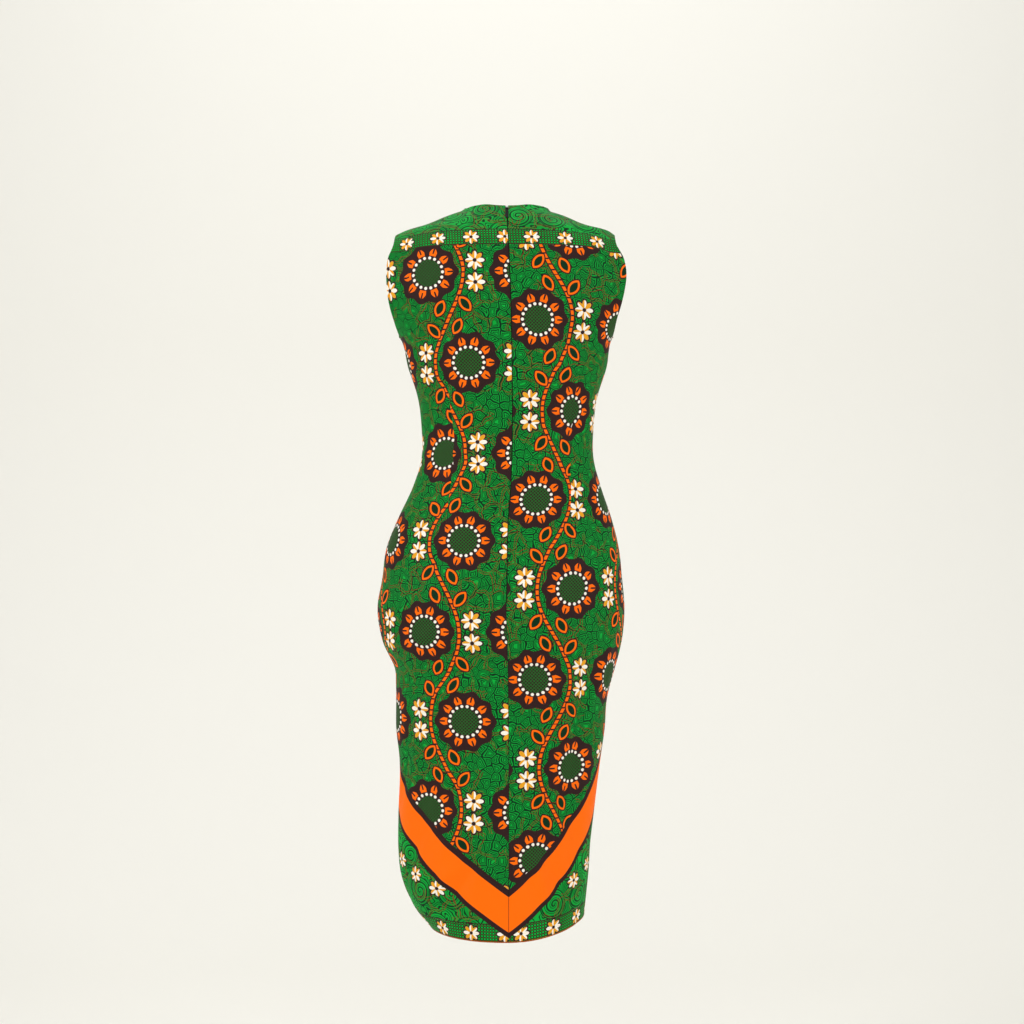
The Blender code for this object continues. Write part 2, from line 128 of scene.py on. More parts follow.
# %% Hang the lights
DRESS_MIDDLE = (0.0, 0.0, -0.5)
AIR = (1.0, 0.985, 0.95, 1.0)
AIR_STRENGTH = 0.46
Panel = namedtuple("Panel", "name place aim size power")
LIGHTS = [
    Panel("key_panel", (2.7, 1.8, 0.7), DRESS_MIDDLE, 1.2, 56.0),
    Panel("fill_panel", (-2.6, 2.0, 0.2), DRESS_MIDDLE, 1.5, 44.0),
    Panel("top_panel", (0.0, 0.9, 2.0), DRESS_MIDDLE, 1.6, 9.0),
    Panel("sweep_panel", (0.0, SWEEP_START, 2.5), (0.0, SWEEP_START, 0.0), 2.6, 37.0),
]

for panel in LIGHTS:
    lamp = bpy.data.lights.new(panel.name, "AREA")
    lamp.size = panel.size
    lamp.energy = panel.power
    stand = add_object(panel.name, lamp)
    stand.location = panel.place
    stand.rotation_euler = (Vector(panel.aim) - stand.location).to_track_quat("-Z", "Y").to_euler()

world = bpy.data.worlds.new("studio_air")
world.use_nodes = True
air = world.node_tree.nodes["Background"].inputs
air["Color"].default_value = AIR
air["Strength"].default_value = AIR_STRENGTH
scene.world = world
scene.view_settings.view_transform = "Standard"
print(len(LIGHTS), "light panels")

# %% [markdown]
# ## The dress as a tailor measures it
# A dressmaker records girths at set heights. These tables do the same, in millimetres: each row is a level
# ring round the dress, with its half width, how far it sways to the wearer's left, where the centre back seam
# crosses it, and how deep it is behind and in front. The same numbers made the solids, so the cloth lands on
# them. A sculpted mesh could look as good, but it couldn't be let out by changing one number.

# %% Rings, armholes and folds
CLOTH = 0.0012  # wall of the solids
SEAM_GAP = 0.0003
NECK_POINT = 0.062  # from the middle to each neck point
BACK_NECK_DROP, FRONT_NECK_DROP = 0.0075, 0.078
SHOULDER_TIP, UNDERARM, HEM = -0.046, -0.200, -1.092
LEFT_HEM_LIFT, RIGHT_HEM_LIFT = 0.005, 0.022
LIFT_FALL_POWER = 6  # how quickly that lift fades up the skirt
ZIP_TOP_OPENING = 0.0017  # half the gap between the backs at the neckline
OPENING_LENGTH = 0.030  # how far down that gap closes
ZIP_BOTTOM = -0.596
NECK_SHARE = 6 / 14  # of a panel's columns, those that end on the neckline

# The last two say how square the ring's corners are: 2 is an ellipse
Section = namedtuple("Section", "height half_width sway seam back_depth front_depth back_square front_square")
SECTIONS = [Section(*(size / 1000 for size in row[:6]), *row[6:]) for row in [
    (0, 62, 1.5, 1, 44, 20, 2.0, 2.0),
    (-9, 69.5, 2, 0.8, 51, 30, 2.0, 2.0),
    (-20.5, 96, 2.7, 0.5, 62, 43, 2.0, 2.0),
    (-33, 127.5, 2.7, 0, 72, 52, 2.0, 2.0),
    (-39.5, 152, 0.8, -0.2, 76, 56, 2.0, 2.0),
    (-46, 164.5, 3, -0.5, 80, 60, 2.0, 2.0),
    (-60, 184, 3.8, -1.4, 87, 67, 2.1, 2.1),
    (-82, 198, 2.5, -2.5, 96, 79, 2.2, 2.1),
    (-112, 201, 1.6, -3.6, 103, 92, 2.2, 2.2),
    (-147, 193, 3, -5, 106, 106, 2.2, 2.3),
    (-176, 176, 3.5, -5.6, 105, 118, 2.2, 2.4),
    (-200, 159.5, 2, -6.2, 103, 125, 2.2, 2.5),
    (-245, 149, 0.2, -7, 98, 132, 2.2, 2.6),
    (-291, 134.5, 0, -7.3, 91, 127, 2.2, 2.5),
    (-336, 129, 0, -7.3, 84, 113, 2.2, 2.3),
    (-382, 129, 0, -6.6, 83, 101, 2.2, 2.2),
    (-427, 141.5, 1, -5, 94, 100, 2.2, 2.2),
    (-473, 160, 4, -1.5, 109, 103, 2.2, 2.2),
    (-518, 174.5, 7.3, 0, 122, 107, 2.2, 2.2),
    (-563, 180, 8, 0.5, 131, 109, 2.3, 2.2),
    (-609, 185.5, 9.8, 1.5, 133, 109, 2.3, 2.3),
    (-654, 180.5, 8.3, 0, 127, 107, 2.3, 2.3),
    (-700, 166, 4.5, -1, 118, 104, 2.3, 2.3),
    (-745, 158.5, 9, -1.5, 111, 101, 2.3, 2.3),
    (-791, 156.5, 10.5, -2, 106, 99, 2.3, 2.3),
    (-836, 151, 11.2, -2.2, 103, 97, 2.3, 2.3),
    (-927, 146.5, 17.5, -2.2, 100, 96, 2.3, 2.3),
    (-973, 144, 20, -2.2, 101, 97, 2.3, 2.3),
    (-1018, 140, 18.5, -2, 104, 100, 2.3, 2.3),
    (-1063, 128, 10.6, -2, 109, 104, 2.3, 2.3),
    (-1092, 115, 0, -2, 113, 107, 2.2, 2.2),
]]
ArmholeRow = namedtuple("ArmholeRow", "height back_reach front_reach")
ARMHOLE = [ArmholeRow(*(size / 1000 for size in row)) for row in [
    (-46, 164.5, 164.5),
    (-52, 164.5, 164.5),
    (-66, 166, 164.5),
    (-85, 174.5, 164),
    (-101, 177.5, 164),
    (-134, 176, 162),
    (-157, 171.5, 160.5),
    (-176, 166, 159.5),
    (-190, 162.5, 159.5),
    (-200, 159.5, 159.5),
]]

Fold = namedtuple("Fold", "bearing height length width depth tilt")


def folds_of(rows):
    """Folds from rows whose bearing and tilt are in degrees, with the rest in millimetres."""
    return [Fold(bearing, *(size / 1000 for size in sizes), tilt) for bearing, *sizes, tilt in rows]


FOLDS = folds_of([
    (28, -686, 70, 16, -4.5, 12),
    (42, -651, 60, 18, 3, 16),
    (150, -690, 60, 16, -3, -14),
    (34, -921, 75, 16, -4.5, 62),
    (52, -956, 80, 18, 3, 58),
    (147, -800, 95, 14, -7, 86),
    (133, -785, 90, 18, 3, 84),
    (150, -935, 60, 14, -3, -70),
    (60, -391, 50, 12, -3, 8),
    (122, -396, 50, 12, -3, -8),
    (40, -201, 50, 14, -3, 38),
    (140, -201, 50, 14, -3, -38),
    (-62, -326, 60, 14, -3, -16),
    (-118, -326, 60, 14, -3, 16),
    (-60, -636, 90, 18, -3.5, -6),
    (-120, -651, 90, 18, -3.5, 8),
    (-75, -926, 100, 18, -4, 84),
    (-110, -896, 100, 18, 3.5, -84),
])
print(len(SECTIONS), "rings and", len(FOLDS), "large folds")

# %% [markdown]
# ## Between the rings
# Cloth has no corners between two measured heights, so each column of a table becomes a smooth curve through
# its rows. Each ring is an ellipse with slightly fuller corners: the power in its formula says how full. One
# function then gives the depth of the cloth at any place, which every later step shares.

# %% Smooth curves through the tables


def held(value):
    """The value, held between 0 and 1."""
    return np.clip(value, 0.0, 1.0)


def smooth_column(rows, name):
    """A smooth function of height through one column of a table."""
    ordered = sorted(rows, key=lambda row: row.height)
    heights = np.array([row.height for row in ordered])
    values = np.array([getattr(row, name) for row in ordered])
    slopes = np.gradient(values, heights)

    def value_at(height):
        height = np.clip(height, heights[0], heights[-1])
        low = np.clip(np.searchsorted(heights, height, side="right") - 1, 0, len(heights) - 2)
        step = heights[low + 1] - heights[low]
        t = (height - heights[low]) / step
        rise = values[low + 1] - values[low]
        start = slopes[low] * step
        end = slopes[low + 1] * step
        return values[low] + t * (start + t * (3 * rise - 2 * start - end + t * (start + end - 2 * rise)))

    return value_at


RING = {name: smooth_column(SECTIONS, name) for name in Section._fields if name != "height"}
REACH = {name: smooth_column(ARMHOLE, name) for name in ArmholeRow._fields if name != "height"}


def words(face):
    """The name of a face, as the columns of the tables use it."""
    return "back" if face > 0 else "front"


def turn_at(face, x, height):
    """How far round its level ring x lies: 0 in the middle, and a quarter turn at each side seam."""
    share = np.clip((x - RING["sway"](height)) / RING["half_width"](height), -1.0, 1.0)
    return np.sign(share) * np.arcsin(np.abs(share) ** (RING[words(face) + "_square"](height) / 2))


def x_at(face, turn, height):
    """The x that lies this far round the level ring."""
    power = 2.0 / RING[words(face) + "_square"](height)
    return RING["sway"](height) + RING["half_width"](height) * np.sign(turn) * np.abs(np.sin(turn)) ** power


def depth_at(face, x, height):
    """How far behind (face +1) or before (face -1) the middle the inside of the cloth is at x."""
    power = RING[words(face) + "_square"](height)
    share = held(np.abs(x - RING["sway"](height)) / RING["half_width"](height))
    depth = RING[words(face) + "_depth"](height) * (1.0 - share ** power) ** (1.0 / power)
    return face * np.maximum(depth, SEAM_GAP / 2)


def on_cloth(face, x, height):
    """The points on the inside of the cloth at these places."""
    x, height = np.broadcast_arrays(x, height)
    return np.stack([x, depth_at(face, x, height), height], axis=-1)


print("hips", round(max(2000 * row.half_width for row in SECTIONS if row.height < UNDERARM)), "mm wide")

# %% [markdown]
# ## Darts
# A flat cloth can't follow a waist, so the maker pinches out a long thin diamond on each side: a dart. Its
# line shows as a fine crease, and the print jumps across it, because cloth is missing there. Here one column
# of the mesh runs exactly down each dart, which could also be cut in afterwards, but then the crease would
# cross the faces at a slant.

# %% Where the darts run
Dart = namedtuple("Dart", "top bottom waist out_top out_waist out_bottom intake")
DARTS = {
    1: Dart(-0.262, -0.500, -0.352, 0.097, 0.0855, 0.092, 0.022),
    -1: Dart(-0.285, -0.480, -0.352, 0.080, 0.0800, 0.084, 0.018),
}
DART_SHARE = 0.56  # of a panel's width, the column that runs down the dart
DART_FADE = 0.16  # how far below the dart its column is still drawn towards it


def dart_out(face, height):
    """How far from the middle the dart's line is at this height."""
    dart = DARTS[face]
    heights = (dart.bottom, dart.waist, dart.top)
    return np.interp(height, heights, (dart.out_bottom, dart.out_waist, dart.out_top))


def dart_width(face, height):
    """How much cloth the dart takes up at this height: none at its two points, most at the waist."""
    dart = DARTS[face]
    span = np.where(height > dart.waist, dart.top - dart.waist, dart.waist - dart.bottom)
    return dart.intake * held(1.0 - np.abs(height - dart.waist) / span)


def dart_hold(face, height):
    """How firmly the dart's column follows its line here: 1 along the dart, fading to 0 beyond its points."""
    dart = DARTS[face]
    above = held((UNDERARM - height) / (UNDERARM - dart.top))
    below = held((height - dart.bottom + DART_FADE) / DART_FADE)
    fade = np.minimum(above, below)
    return fade * fade * (3 - 2 * fade)


print("back dart", round(1000 * (DARTS[1].top - DARTS[1].bottom)), "mm long")

# %% [markdown]
# ## Rows and columns
# The mesh of each panel is finest where the cloth does most: along its seams and beside its darts. The
# columns are given as shares of the way from the middle of the dress to the side seam.

# %% Set out the grid
DENSE = 500  # points on a line that is measured before it is shared out
SKIRT_ROWS, BODICE_ROWS = 150, 54
EVEN_COLUMNS, FIRST_EVEN = 42, 0.045  # how many, and the share at which they start
BESIDE = np.array([0.0045, 0.011, 0.022])  # extra columns beside an edge or a dart, as shares
CLEAR_OF_DART, CLEAR_OF_NECK = 0.034, 0.010  # even columns nearer than this are left out


def column_shares():
    """Shares of the way across half a panel, closer together at its edges and at the dart."""
    edge = np.concatenate([[0.0], BESIDE])
    even = np.linspace(FIRST_EVEN, 1.0 - FIRST_EVEN, EVEN_COLUMNS)
    near_dart = DART_SHARE + np.concatenate([-BESIDE[::-1], [0.0], BESIDE])
    clear = even[np.abs(even - DART_SHARE) > CLEAR_OF_DART]
    clear = clear[np.abs(clear - NECK_SHARE) > CLEAR_OF_NECK]
    return np.sort(np.concatenate([edge, clear, near_dart, [NECK_SHARE], 1.0 - edge]))


SHARES = column_shares()
DART_COLUMN = int(np.argmin(np.abs(SHARES - DART_SHARE)))
NECK_COLUMN = int(np.argmin(np.abs(SHARES - NECK_SHARE)))


def lengths_along(points, axis=0):
    """How far along its line, row or column each point is."""
    steps = np.linalg.norm(np.diff(points, axis=axis), axis=-1)
    return np.concatenate([np.zeros_like(steps.take([0], axis)), np.cumsum(steps, axis)], axis)


def spaced(points, shares):
    """The points at these shares of the length of a line of many points."""
    along = lengths_along(points)
    wanted = np.asarray(shares) * along[-1]
    return np.stack([np.interp(wanted, along, points[:, k]) for k in range(points.shape[1])], axis=1)


def middle_line(face, side, height):
    """x of a half panel's inner edge: the centre back seam behind, and the middle in front."""
    if face < 0:
        return RING["sway"](height)
    below_neck = held((-BACK_NECK_DROP - height) / OPENING_LENGTH)
    half_gap = ZIP_TOP_OPENING + (SEAM_GAP / 2 - ZIP_TOP_OPENING) * below_neck
    return RING["seam"](height) + side * half_gap


def ring_half(face, side, height):
    """Points along one ring from a half panel's inner edge to its side seam."""
    inner = middle_line(face, side, height)
    x = x_at(face, np.linspace(turn_at(face, inner, height), side * math.pi / 2, DENSE), height)
    line = on_cloth(face, x, height)
    along = lengths_along(line)
    target = float(np.interp(dart_out(face, height), np.abs(x - inner), along / along[-1]))
    target = DART_SHARE + (target - DART_SHARE) * float(dart_hold(face, height))
    shares = np.where(SHARES < DART_SHARE, SHARES * target / DART_SHARE,
                      1.0 - (1.0 - SHARES) * (1.0 - target) / (1.0 - DART_SHARE))
    return spaced(line, shares)


print(len(SHARES), "columns to a half panel, dart in column", DART_COLUMN)

# %% Cut the neckline, shoulder and armhole
EVEN_BODICE = (0.012, 0.978)  # share of the way up at which the even rows start and end
LAST_ROWS = [0.988, 0.995, 1.0]


def top_edge(face, side):
    """x and height along the neckline and then the shoulder seam, one point for each column."""
    drop = BACK_NECK_DROP if face > 0 else FRONT_NECK_DROP
    turn = np.linspace(0.0, math.pi / 2, DENSE)
    start = middle_line(face, side, -drop)
    neck_point = RING["sway"](0.0) + side * NECK_POINT
    neck_height = -drop * np.cos(turn)
    neck_x = start + (neck_point - start) * np.sin(turn)
    shoulder_height = np.linspace(0.0, SHOULDER_TIP, DENSE)
    shoulder_x = RING["sway"](shoulder_height) + side * RING["half_width"](shoulder_height)
    neck = spaced(on_cloth(face, neck_x, neck_height), SHARES[:NECK_COLUMN + 1] / NECK_SHARE)
    shoulder = spaced(on_cloth(face, shoulder_x, shoulder_height),
                      (SHARES[NECK_COLUMN + 1:] - NECK_SHARE) / (1.0 - NECK_SHARE))
    return np.concatenate([neck, shoulder])[:, [0, 2]]


def bodice_half(face, side):
    """Rows of points from the underarm ring up to the neckline and shoulder seam."""
    bottom = ring_half(face, side, UNDERARM)[:, [0, 2]]
    top = top_edge(face, side)
    climb = (1.0 - np.cos(np.linspace(0.0, math.pi, DENSE))) / 2
    middle_height = bottom[0, 1] + (top[0, 1] - bottom[0, 1]) * climb
    middle = np.stack([middle_line(face, side, middle_height), middle_height], axis=1)
    arm_height = bottom[-1, 1] + (top[-1, 1] - bottom[-1, 1]) * climb
    reach = REACH[words(face) + "_reach"](arm_height)
    armhole = np.stack([RING["sway"](arm_height) + side * reach, arm_height], axis=1)
    rows = np.concatenate([[0.0], np.linspace(*EVEN_BODICE, BODICE_ROWS - 3), LAST_ROWS])
    columns = []
    for s, low, high in zip(SHARES, bottom, top):
        t = climb[:, None]
        across = (1 - s) * middle + s * armhole
        up = (1 - t) * low + t * high
        corners = ((1 - s) * (1 - t) * bottom[0] + s * (1 - t) * bottom[-1]
                   + (1 - s) * t * top[0] + s * t * top[-1])
        x, height = (across + up - corners).T
        columns.append(spaced(on_cloth(face, x, height), rows))
    return np.stack(columns, axis=1)


def smooth_half(face, side):
    """The form of half the front or back before it is folded, from the hem up."""
    rings = [ring_half(face, side, height) for height in np.linspace(HEM, UNDERARM, SKIRT_ROWS + 1)]
    return np.concatenate([np.stack(rings), bodice_half(face, side)[1:]])


HALVES = {(face, side): smooth_half(face, side) for face in (1, -1) for side in (1, -1)}
print("rows", HALVES[1, 1].shape[0], "columns", HALVES[1, 1].shape[1])

# %% [markdown]
# ## The cloth laid flat
# A print is made on flat cloth, so each point of the dress needs the place that it had before sewing: how
# far it is across from the middle of the panel, and how far up from the hem, both measured along the cloth
# in metres. A UV map holds those two numbers. Beyond a dart, the lost cloth is added to the first one, and
# that is what makes the print jump. A second map holds the same places, shifted by how each panel was laid
# on the length of cloth, because the two backs weren't cut to match.

# %% Measure across and up along the cloth
STEPS = 72  # points along each measured path
STRAIGHT_UP_TO = 0.93  # share of the half width beyond which the measure goes up no further out
CENTRE_HEIGHTS = np.linspace(HEM, 0.0, 600)


def across_cloth(face, x, height):
    """Length along the level ring from the middle of the dress to x, with the sign of x."""
    centre = middle_line(face, 1, height) if face < 0 else RING["seam"](height)
    start, end = turn_at(face, centre, height), turn_at(face, x, height)
    turns = start + (end - start) * np.linspace(0.0, 1.0, STEPS)[:, None]
    path = on_cloth(face, x_at(face, turns, height), height)
    return np.sign(x - centre) * lengths_along(path)[-1]


def up_cloth(face, x, height):
    """Length up the cloth from the hem: along the middle to the underarm, then straight up at x."""
    line = on_cloth(face, RING["seam"](CENTRE_HEIGHTS), CENTRE_HEIGHTS)
    skirt = np.interp(np.minimum(height, UNDERARM), CENTRE_HEIGHTS, lengths_along(line))
    inside = STRAIGHT_UP_TO * RING["half_width"](UNDERARM)
    levels = UNDERARM + np.maximum(height - UNDERARM, 0.0) * np.linspace(0.0, 1.0, STEPS)[:, None]
    return skirt + lengths_along(on_cloth(face, np.clip(x, -inside, inside), levels))[-1]


def flat_place(face, points):
    """(across, up) in the flat cloth for each point of a smooth half."""
    x, height = points[..., 0].ravel(), points[..., 2].ravel()
    across = across_cloth(face, x, height)
    up = up_cloth(face, x, height)
    return np.stack([across, up], axis=1).reshape(*points.shape[:2], 2)


FLAT = {key: flat_place(key[0], points) for key, points in HALVES.items()}
for key, name in (((1, 1), "left back"), ((-1, 1), "left front")):
    print(name, "is", np.round(np.ptp(FLAT[key].reshape(-1, 2), axis=0), 3), "m flat")

# %% [markdown]
# ## Folds and creases
# Stiff cotton hangs in a few large soft folds, with finer drag lines where it is pulled: across the small of
# the back, from the underarm, round the seat, and down the skirt. Each one is a long soft trough or ridge,
# given one by one. A cloth simulation could find its own folds, but they would not be the ones in the
# photograph, and it would pull the cloth off the shape that it was cut to.

# %% Push the folds in
DRAG_LINES = folds_of([
    (72, -318, 45, 6, 1.6, 14),
    (80, -345, 55, 6, -1.9, 8),
    (76, -372, 60, 7, 1.8, 5),
    (106, -330, 50, 6, -1.6, -10),
    (103, -360, 55, 6, 1.9, -6),
    (108, -405, 60, 7, -1.6, -12),
    (66, -418, 50, 7, -1.8, 14),
    (52, -236, 40, 6, 1.9, 46),
    (46, -262, 45, 6, -1.9, 40),
    (128, -240, 40, 6, 1.9, -46),
    (134, -266, 45, 6, -1.6, -40),
    (58, -100, 35, 7, -1.6, 70),
    (122, -105, 35, 7, -1.6, -70),
    (60, -500, 60, 9, 1.9, 30),
    (48, -540, 60, 8, -2, 24),
    (124, -520, 60, 9, -1.9, -28),
    (136, -560, 55, 8, 1.8, -22),
    (30, -655, 45, 8, 3.9, 4),
    (26, -715, 50, 8, -3.9, 18),
    (38, -742, 60, 9, 3.1, 26),
    (58, -700, 70, 10, -3.1, 10),
    (74, -735, 70, 10, 2.5, -6),
    (104, -690, 70, 10, -2.9, -10),
    (122, -730, 70, 9, 2.9, 60),
    (154, -720, 70, 8, 3.9, 80),
    (66, -830, 90, 11, -3.1, 72),
    (48, -860, 80, 10, 3.1, 66),
    (20, -830, 70, 10, -3.5, 74),
    (80, -960, 80, 12, 2.9, 80),
    (110, -930, 90, 11, -3.1, -78),
    (122, -985, 70, 10, 3.1, -72),
    (64, -1010, 60, 10, -3.9, 52),
    (44, -1020, 55, 9, 4.2, 48),
    (24, -985, 60, 9, -4.2, 60),
    (140, -1015, 55, 9, -3.1, -64),
    (-52, -245, 45, 7, -2.2, -40),
    (-128, -245, 45, 7, -2.2, 40),
    (-70, -372, 60, 7, 1.9, -6),
    (-104, -392, 60, 7, -1.9, 8),
    (-84, -420, 70, 8, -1.8, 0),
    (-66, -560, 70, 10, 2.2, -18),
    (-112, -545, 70, 10, -2.2, 16),
    (-90, -690, 100, 11, 2.5, 2),
    (-58, -760, 80, 11, -3.1, -70),
    (-124, -790, 80, 11, 3.1, 72),
    (-92, -860, 100, 13, -2.9, 88),
    (-48, -985, 80, 11, 3.5, -78),
    (-132, -1000, 70, 10, -3.5, 76),
    (-88, -1030, 60, 11, 2.9, 84),
])
CALM_FROM, CALM_AT_ZIP = 0.004, 0.020  # fine lines end this near the centre back, and fade over this
ZIP_STIFFNESS = 0.6  # share of the large folds that the zip presses flat
ZIP_EASE = 0.03  # how far up from the zip's foot that builds up
NECK_RISE, NECK_CORNER = 0.0022, 0.0030
NECK_SPREAD = 0.013  # how wide the neckline's rise and its eased corner are
NECK_TIP, NECK_TIP_SPREAD = 0.0020, 0.0055
NECK_FADE = 0.030  # how far down they reach


def push_of(folds, bearing, reach, height):
    """How far these folds push each point away from the middle of the dress."""
    push = np.zeros(reach.shape)
    for fold in folds:
        apart = bearing - math.radians(fold.bearing)
        around = reach * np.arctan2(np.sin(apart), np.cos(apart))
        up = height - fold.height
        tilt = math.radians(fold.tilt)
        along = around * math.cos(tilt) + up * math.sin(tilt)
        across = up * math.cos(tilt) - around * math.sin(tilt)
        push += fold.depth * np.exp(-(along / fold.length) ** 2 - (across / fold.width) ** 2)
    return push


def settled(points):
    """Raises the hem towards the side seams, and eases the neckline's corners into curves."""
    moved = points.copy()
    x, height = points[..., 0], points[..., 2]
    fall = held((UNDERARM - height) / (UNDERARM - HEM))
    share = np.clip(x / RING["half_width"](HEM), -1.0, 1.0)
    lift = np.where(share < 0.0, RIGHT_HEM_LIFT, LEFT_HEM_LIFT)
    moved[..., 2] += lift * fall ** LIFT_FALL_POWER * share ** 2
    at_neck = held(1.0 + height / NECK_FADE)
    rise = NECK_RISE * np.exp(-((np.abs(x) - NECK_POINT / 2) / NECK_SPREAD) ** 2)
    from_corner = np.abs(x) - NECK_POINT
    drop = NECK_CORNER * np.exp(-(from_corner / NECK_SPREAD) ** 2)
    drop = drop + NECK_TIP * np.exp(-(from_corner / NECK_TIP_SPREAD) ** 2)
    moved[..., 2] += (rise - drop) * at_neck
    return moved


def folded(points, large, fine):
    """Pushes these shares of the folds in and out, level, away from the middle of the dress."""
    x, y, height = points[..., 0] - RING["sway"](points[..., 2]), points[..., 1], points[..., 2]
    bearing, reach = np.arctan2(y, x), np.hypot(x, y)
    push = large * push_of(FOLDS, bearing, reach, height) + fine * push_of(DRAG_LINES, bearing, reach, height)
    moved = points.copy()
    moved[..., 0] += push * x / reach
    moved[..., 1] += push * y / reach
    return moved


HUNG = {}
for key, points in HALVES.items():
    from_seam, height = np.abs(FLAT[key][..., 0]), points[..., 2]
    large = fine = np.ones(from_seam.shape)
    if key[0] > 0:
        fine = held((from_seam - CALM_FROM) / CALM_AT_ZIP)
        at_zip = held((height - ZIP_BOTTOM) / ZIP_EASE)
        large = 1.0 - ZIP_STIFFNESS * np.exp(-(from_seam / CALM_AT_ZIP) ** 2) * at_zip
    HUNG[key] = folded(settled(points), large, fine)
print(len(DRAG_LINES), "drag lines")

# %% [markdown]
# ## Panels
# Each panel is a thin shell of woven cotton. At a seam its edge turns in and its allowance is pressed back
# behind it, as a maker does, so the seam is a soft narrow groove with no light through it. Where the cloth is
# hemmed or faced, it lies double. The shell is an open sheet with Solidify, whose thickness follows a vertex
# group. Two separate surfaces would be harder to keep at one distance.

# %% Sink the seams and thicken the hems
THIN = 0.0006  # one layer of the cotton
DOUBLE = 0.0013  # where it is turned up
HEM_TURNING, NECK_TURNING = 0.025, 0.009
GROOVE_DEPTH, GROOVE_WIDTH = 0.0006, 0.0020  # of a seam or a dart
STITCHED_FROM = 0.004  # intake from which a dart's groove has its full depth
HALVED_OVER = 0.01  # length over which the groove gets shallower above the zip's foot


def outward_normals(grid):
    """The direction out of the dress at each point of a panel's grid."""
    normals = np.cross(np.gradient(grid, axis=1), np.gradient(grid, axis=0))
    normals /= np.linalg.norm(normals, axis=2)[..., None]
    out = np.stack([grid[..., 0], grid[..., 1], np.zeros(grid.shape[:2])], axis=2)
    return normals * np.sign((normals * out).sum())


def groove(distance):
    """How deep a seam's groove is at this distance from the seam."""
    return GROOVE_DEPTH * np.exp(-(distance / GROOVE_WIDTH) ** 2)


def half_finish(face, side):
    """For half a panel: how far each point sinks into a seam or dart, and how much of it lies double."""
    grid = HUNG[face, side]
    middle, hem = lengths_along(grid, 1), lengths_along(grid, 0)
    outer, top = middle[:, -1:] - middle, hem[-1:] - hem
    skirt = np.arange(grid.shape[0])[:, None] <= SKIRT_ROWS
    shoulder = np.arange(grid.shape[1])[None, :] > NECK_COLUMN
    sink = np.where(skirt, groove(outer), 0.0) + np.where(shoulder & ~skirt, groove(top), 0.0)
    if face > 0:
        at_zip = held((grid[..., 2] - ZIP_BOTTOM) / HALVED_OVER)
        sink = sink + (1.0 - at_zip / 2) * groove(middle)
    stitched = held(dart_width(face, grid[..., 2]) / STITCHED_FROM)
    sink = sink + stitched * groove(middle - middle[:, DART_COLUMN:DART_COLUMN + 1])
    turned = (hem < HEM_TURNING) | (~shoulder & ~skirt & (top < NECK_TURNING))
    turned = turned | (~skirt & (outer < NECK_TURNING))
    return np.minimum(sink, GROOVE_DEPTH), turned.astype(float)


FINISH = {key: half_finish(*key) for key in HUNG}
print("points that lie double", int(sum(turned.sum() for _, turned in FINISH.values())))

# %% Bring the panels' edges together
CutPiece = namedtuple("CutPiece", "node face sides shift")
PIECES = [
    CutPiece("front_panel", -1, (-1, 1), (0.021, 0.060)),
    CutPiece("back_panel_left", 1, (1,), (0.045, 0.012)),
    CutPiece("back_panel_right", 1, (-1,), (0.068, 0.083)),
]
CENTRE = len(SHARES) - 1  # the front panel's middle column
ZIP_LIP = 0.0005  # how far each folded edge stands back from the seam over the zip


def whole(piece, table):
    """The grid of a whole panel, from the wearer's right to left, out of its halves."""
    grids = [table[piece.face, side] for side in piece.sides]
    if len(grids) == 2:
        return np.concatenate([grids[0][:, ::-1], grids[1][:, 1:]], axis=1)
    return grids[0] if piece.sides[0] > 0 else grids[0][:, ::-1]


NORMALS = {piece.node: outward_normals(whole(piece, HUNG)) for piece in PIECES}
SINK = {key: made[0] for key, made in FINISH.items()}
OUTSIDE = {piece.node: whole(piece, HUNG) + NORMALS[piece.node] * (CLOTH - whole(piece, SINK))[..., None]
           for piece in PIECES}


def share_edge(one, other):
    """Moves two edges that are sewn together onto the line between them."""
    middle = (one + other) / 2
    one[...] = middle
    other[...] = middle


front, left_back, right_back = (OUTSIDE[piece.node] for piece in PIECES)
left_back[:, 0, 0] += ZIP_LIP
right_back[:, -1, 0] -= ZIP_LIP
last_closed = int((HALVES[1, 1][:, 0, 2] < ZIP_BOTTOM).sum())
share_edge(left_back[:last_closed, 0], right_back[:last_closed, -1])
share_edge(left_back[:SKIRT_ROWS + 1, -1], front[:SKIRT_ROWS + 1, -1])
share_edge(right_back[:SKIRT_ROWS + 1, 0], front[:SKIRT_ROWS + 1, 0])
share_edge(left_back[-1, NECK_COLUMN:], front[-1, CENTRE + NECK_COLUMN:])
share_edge(right_back[-1, :CENTRE - NECK_COLUMN + 1], front[-1, :CENTRE - NECK_COLUMN + 1])
print("seam closed over", last_closed, "rows, and a zip above")

# %% Press the allowances back
Crease = namedtuple("Crease", "back out")
FLAP = [Crease(0.0135, -0.0003), Crease(0.006, -0.0002), Crease(0.0012, -0.0002), Crease(0.0, 0.0001)]
FLAP_PAD = (len(FLAP), len(FLAP))


def offset_line(hung, normals, far, aside, out):
    """On each row, the place where far reaches aside, moved this far out of the cloth."""
    return np.array([[np.interp(aside, measure, spots[:, k]) + out * np.interp(aside, measure, ways[:, k])
                      for k in range(3)] for spots, ways, measure in zip(hung, normals, far)])


def flap_columns(hung, normals):
    """The allowance behind a panel's first column, from its raw edge to the seam."""
    far = lengths_along(hung, 1)
    return np.stack([offset_line(hung, normals, far, *crease) for crease in FLAP], axis=1)


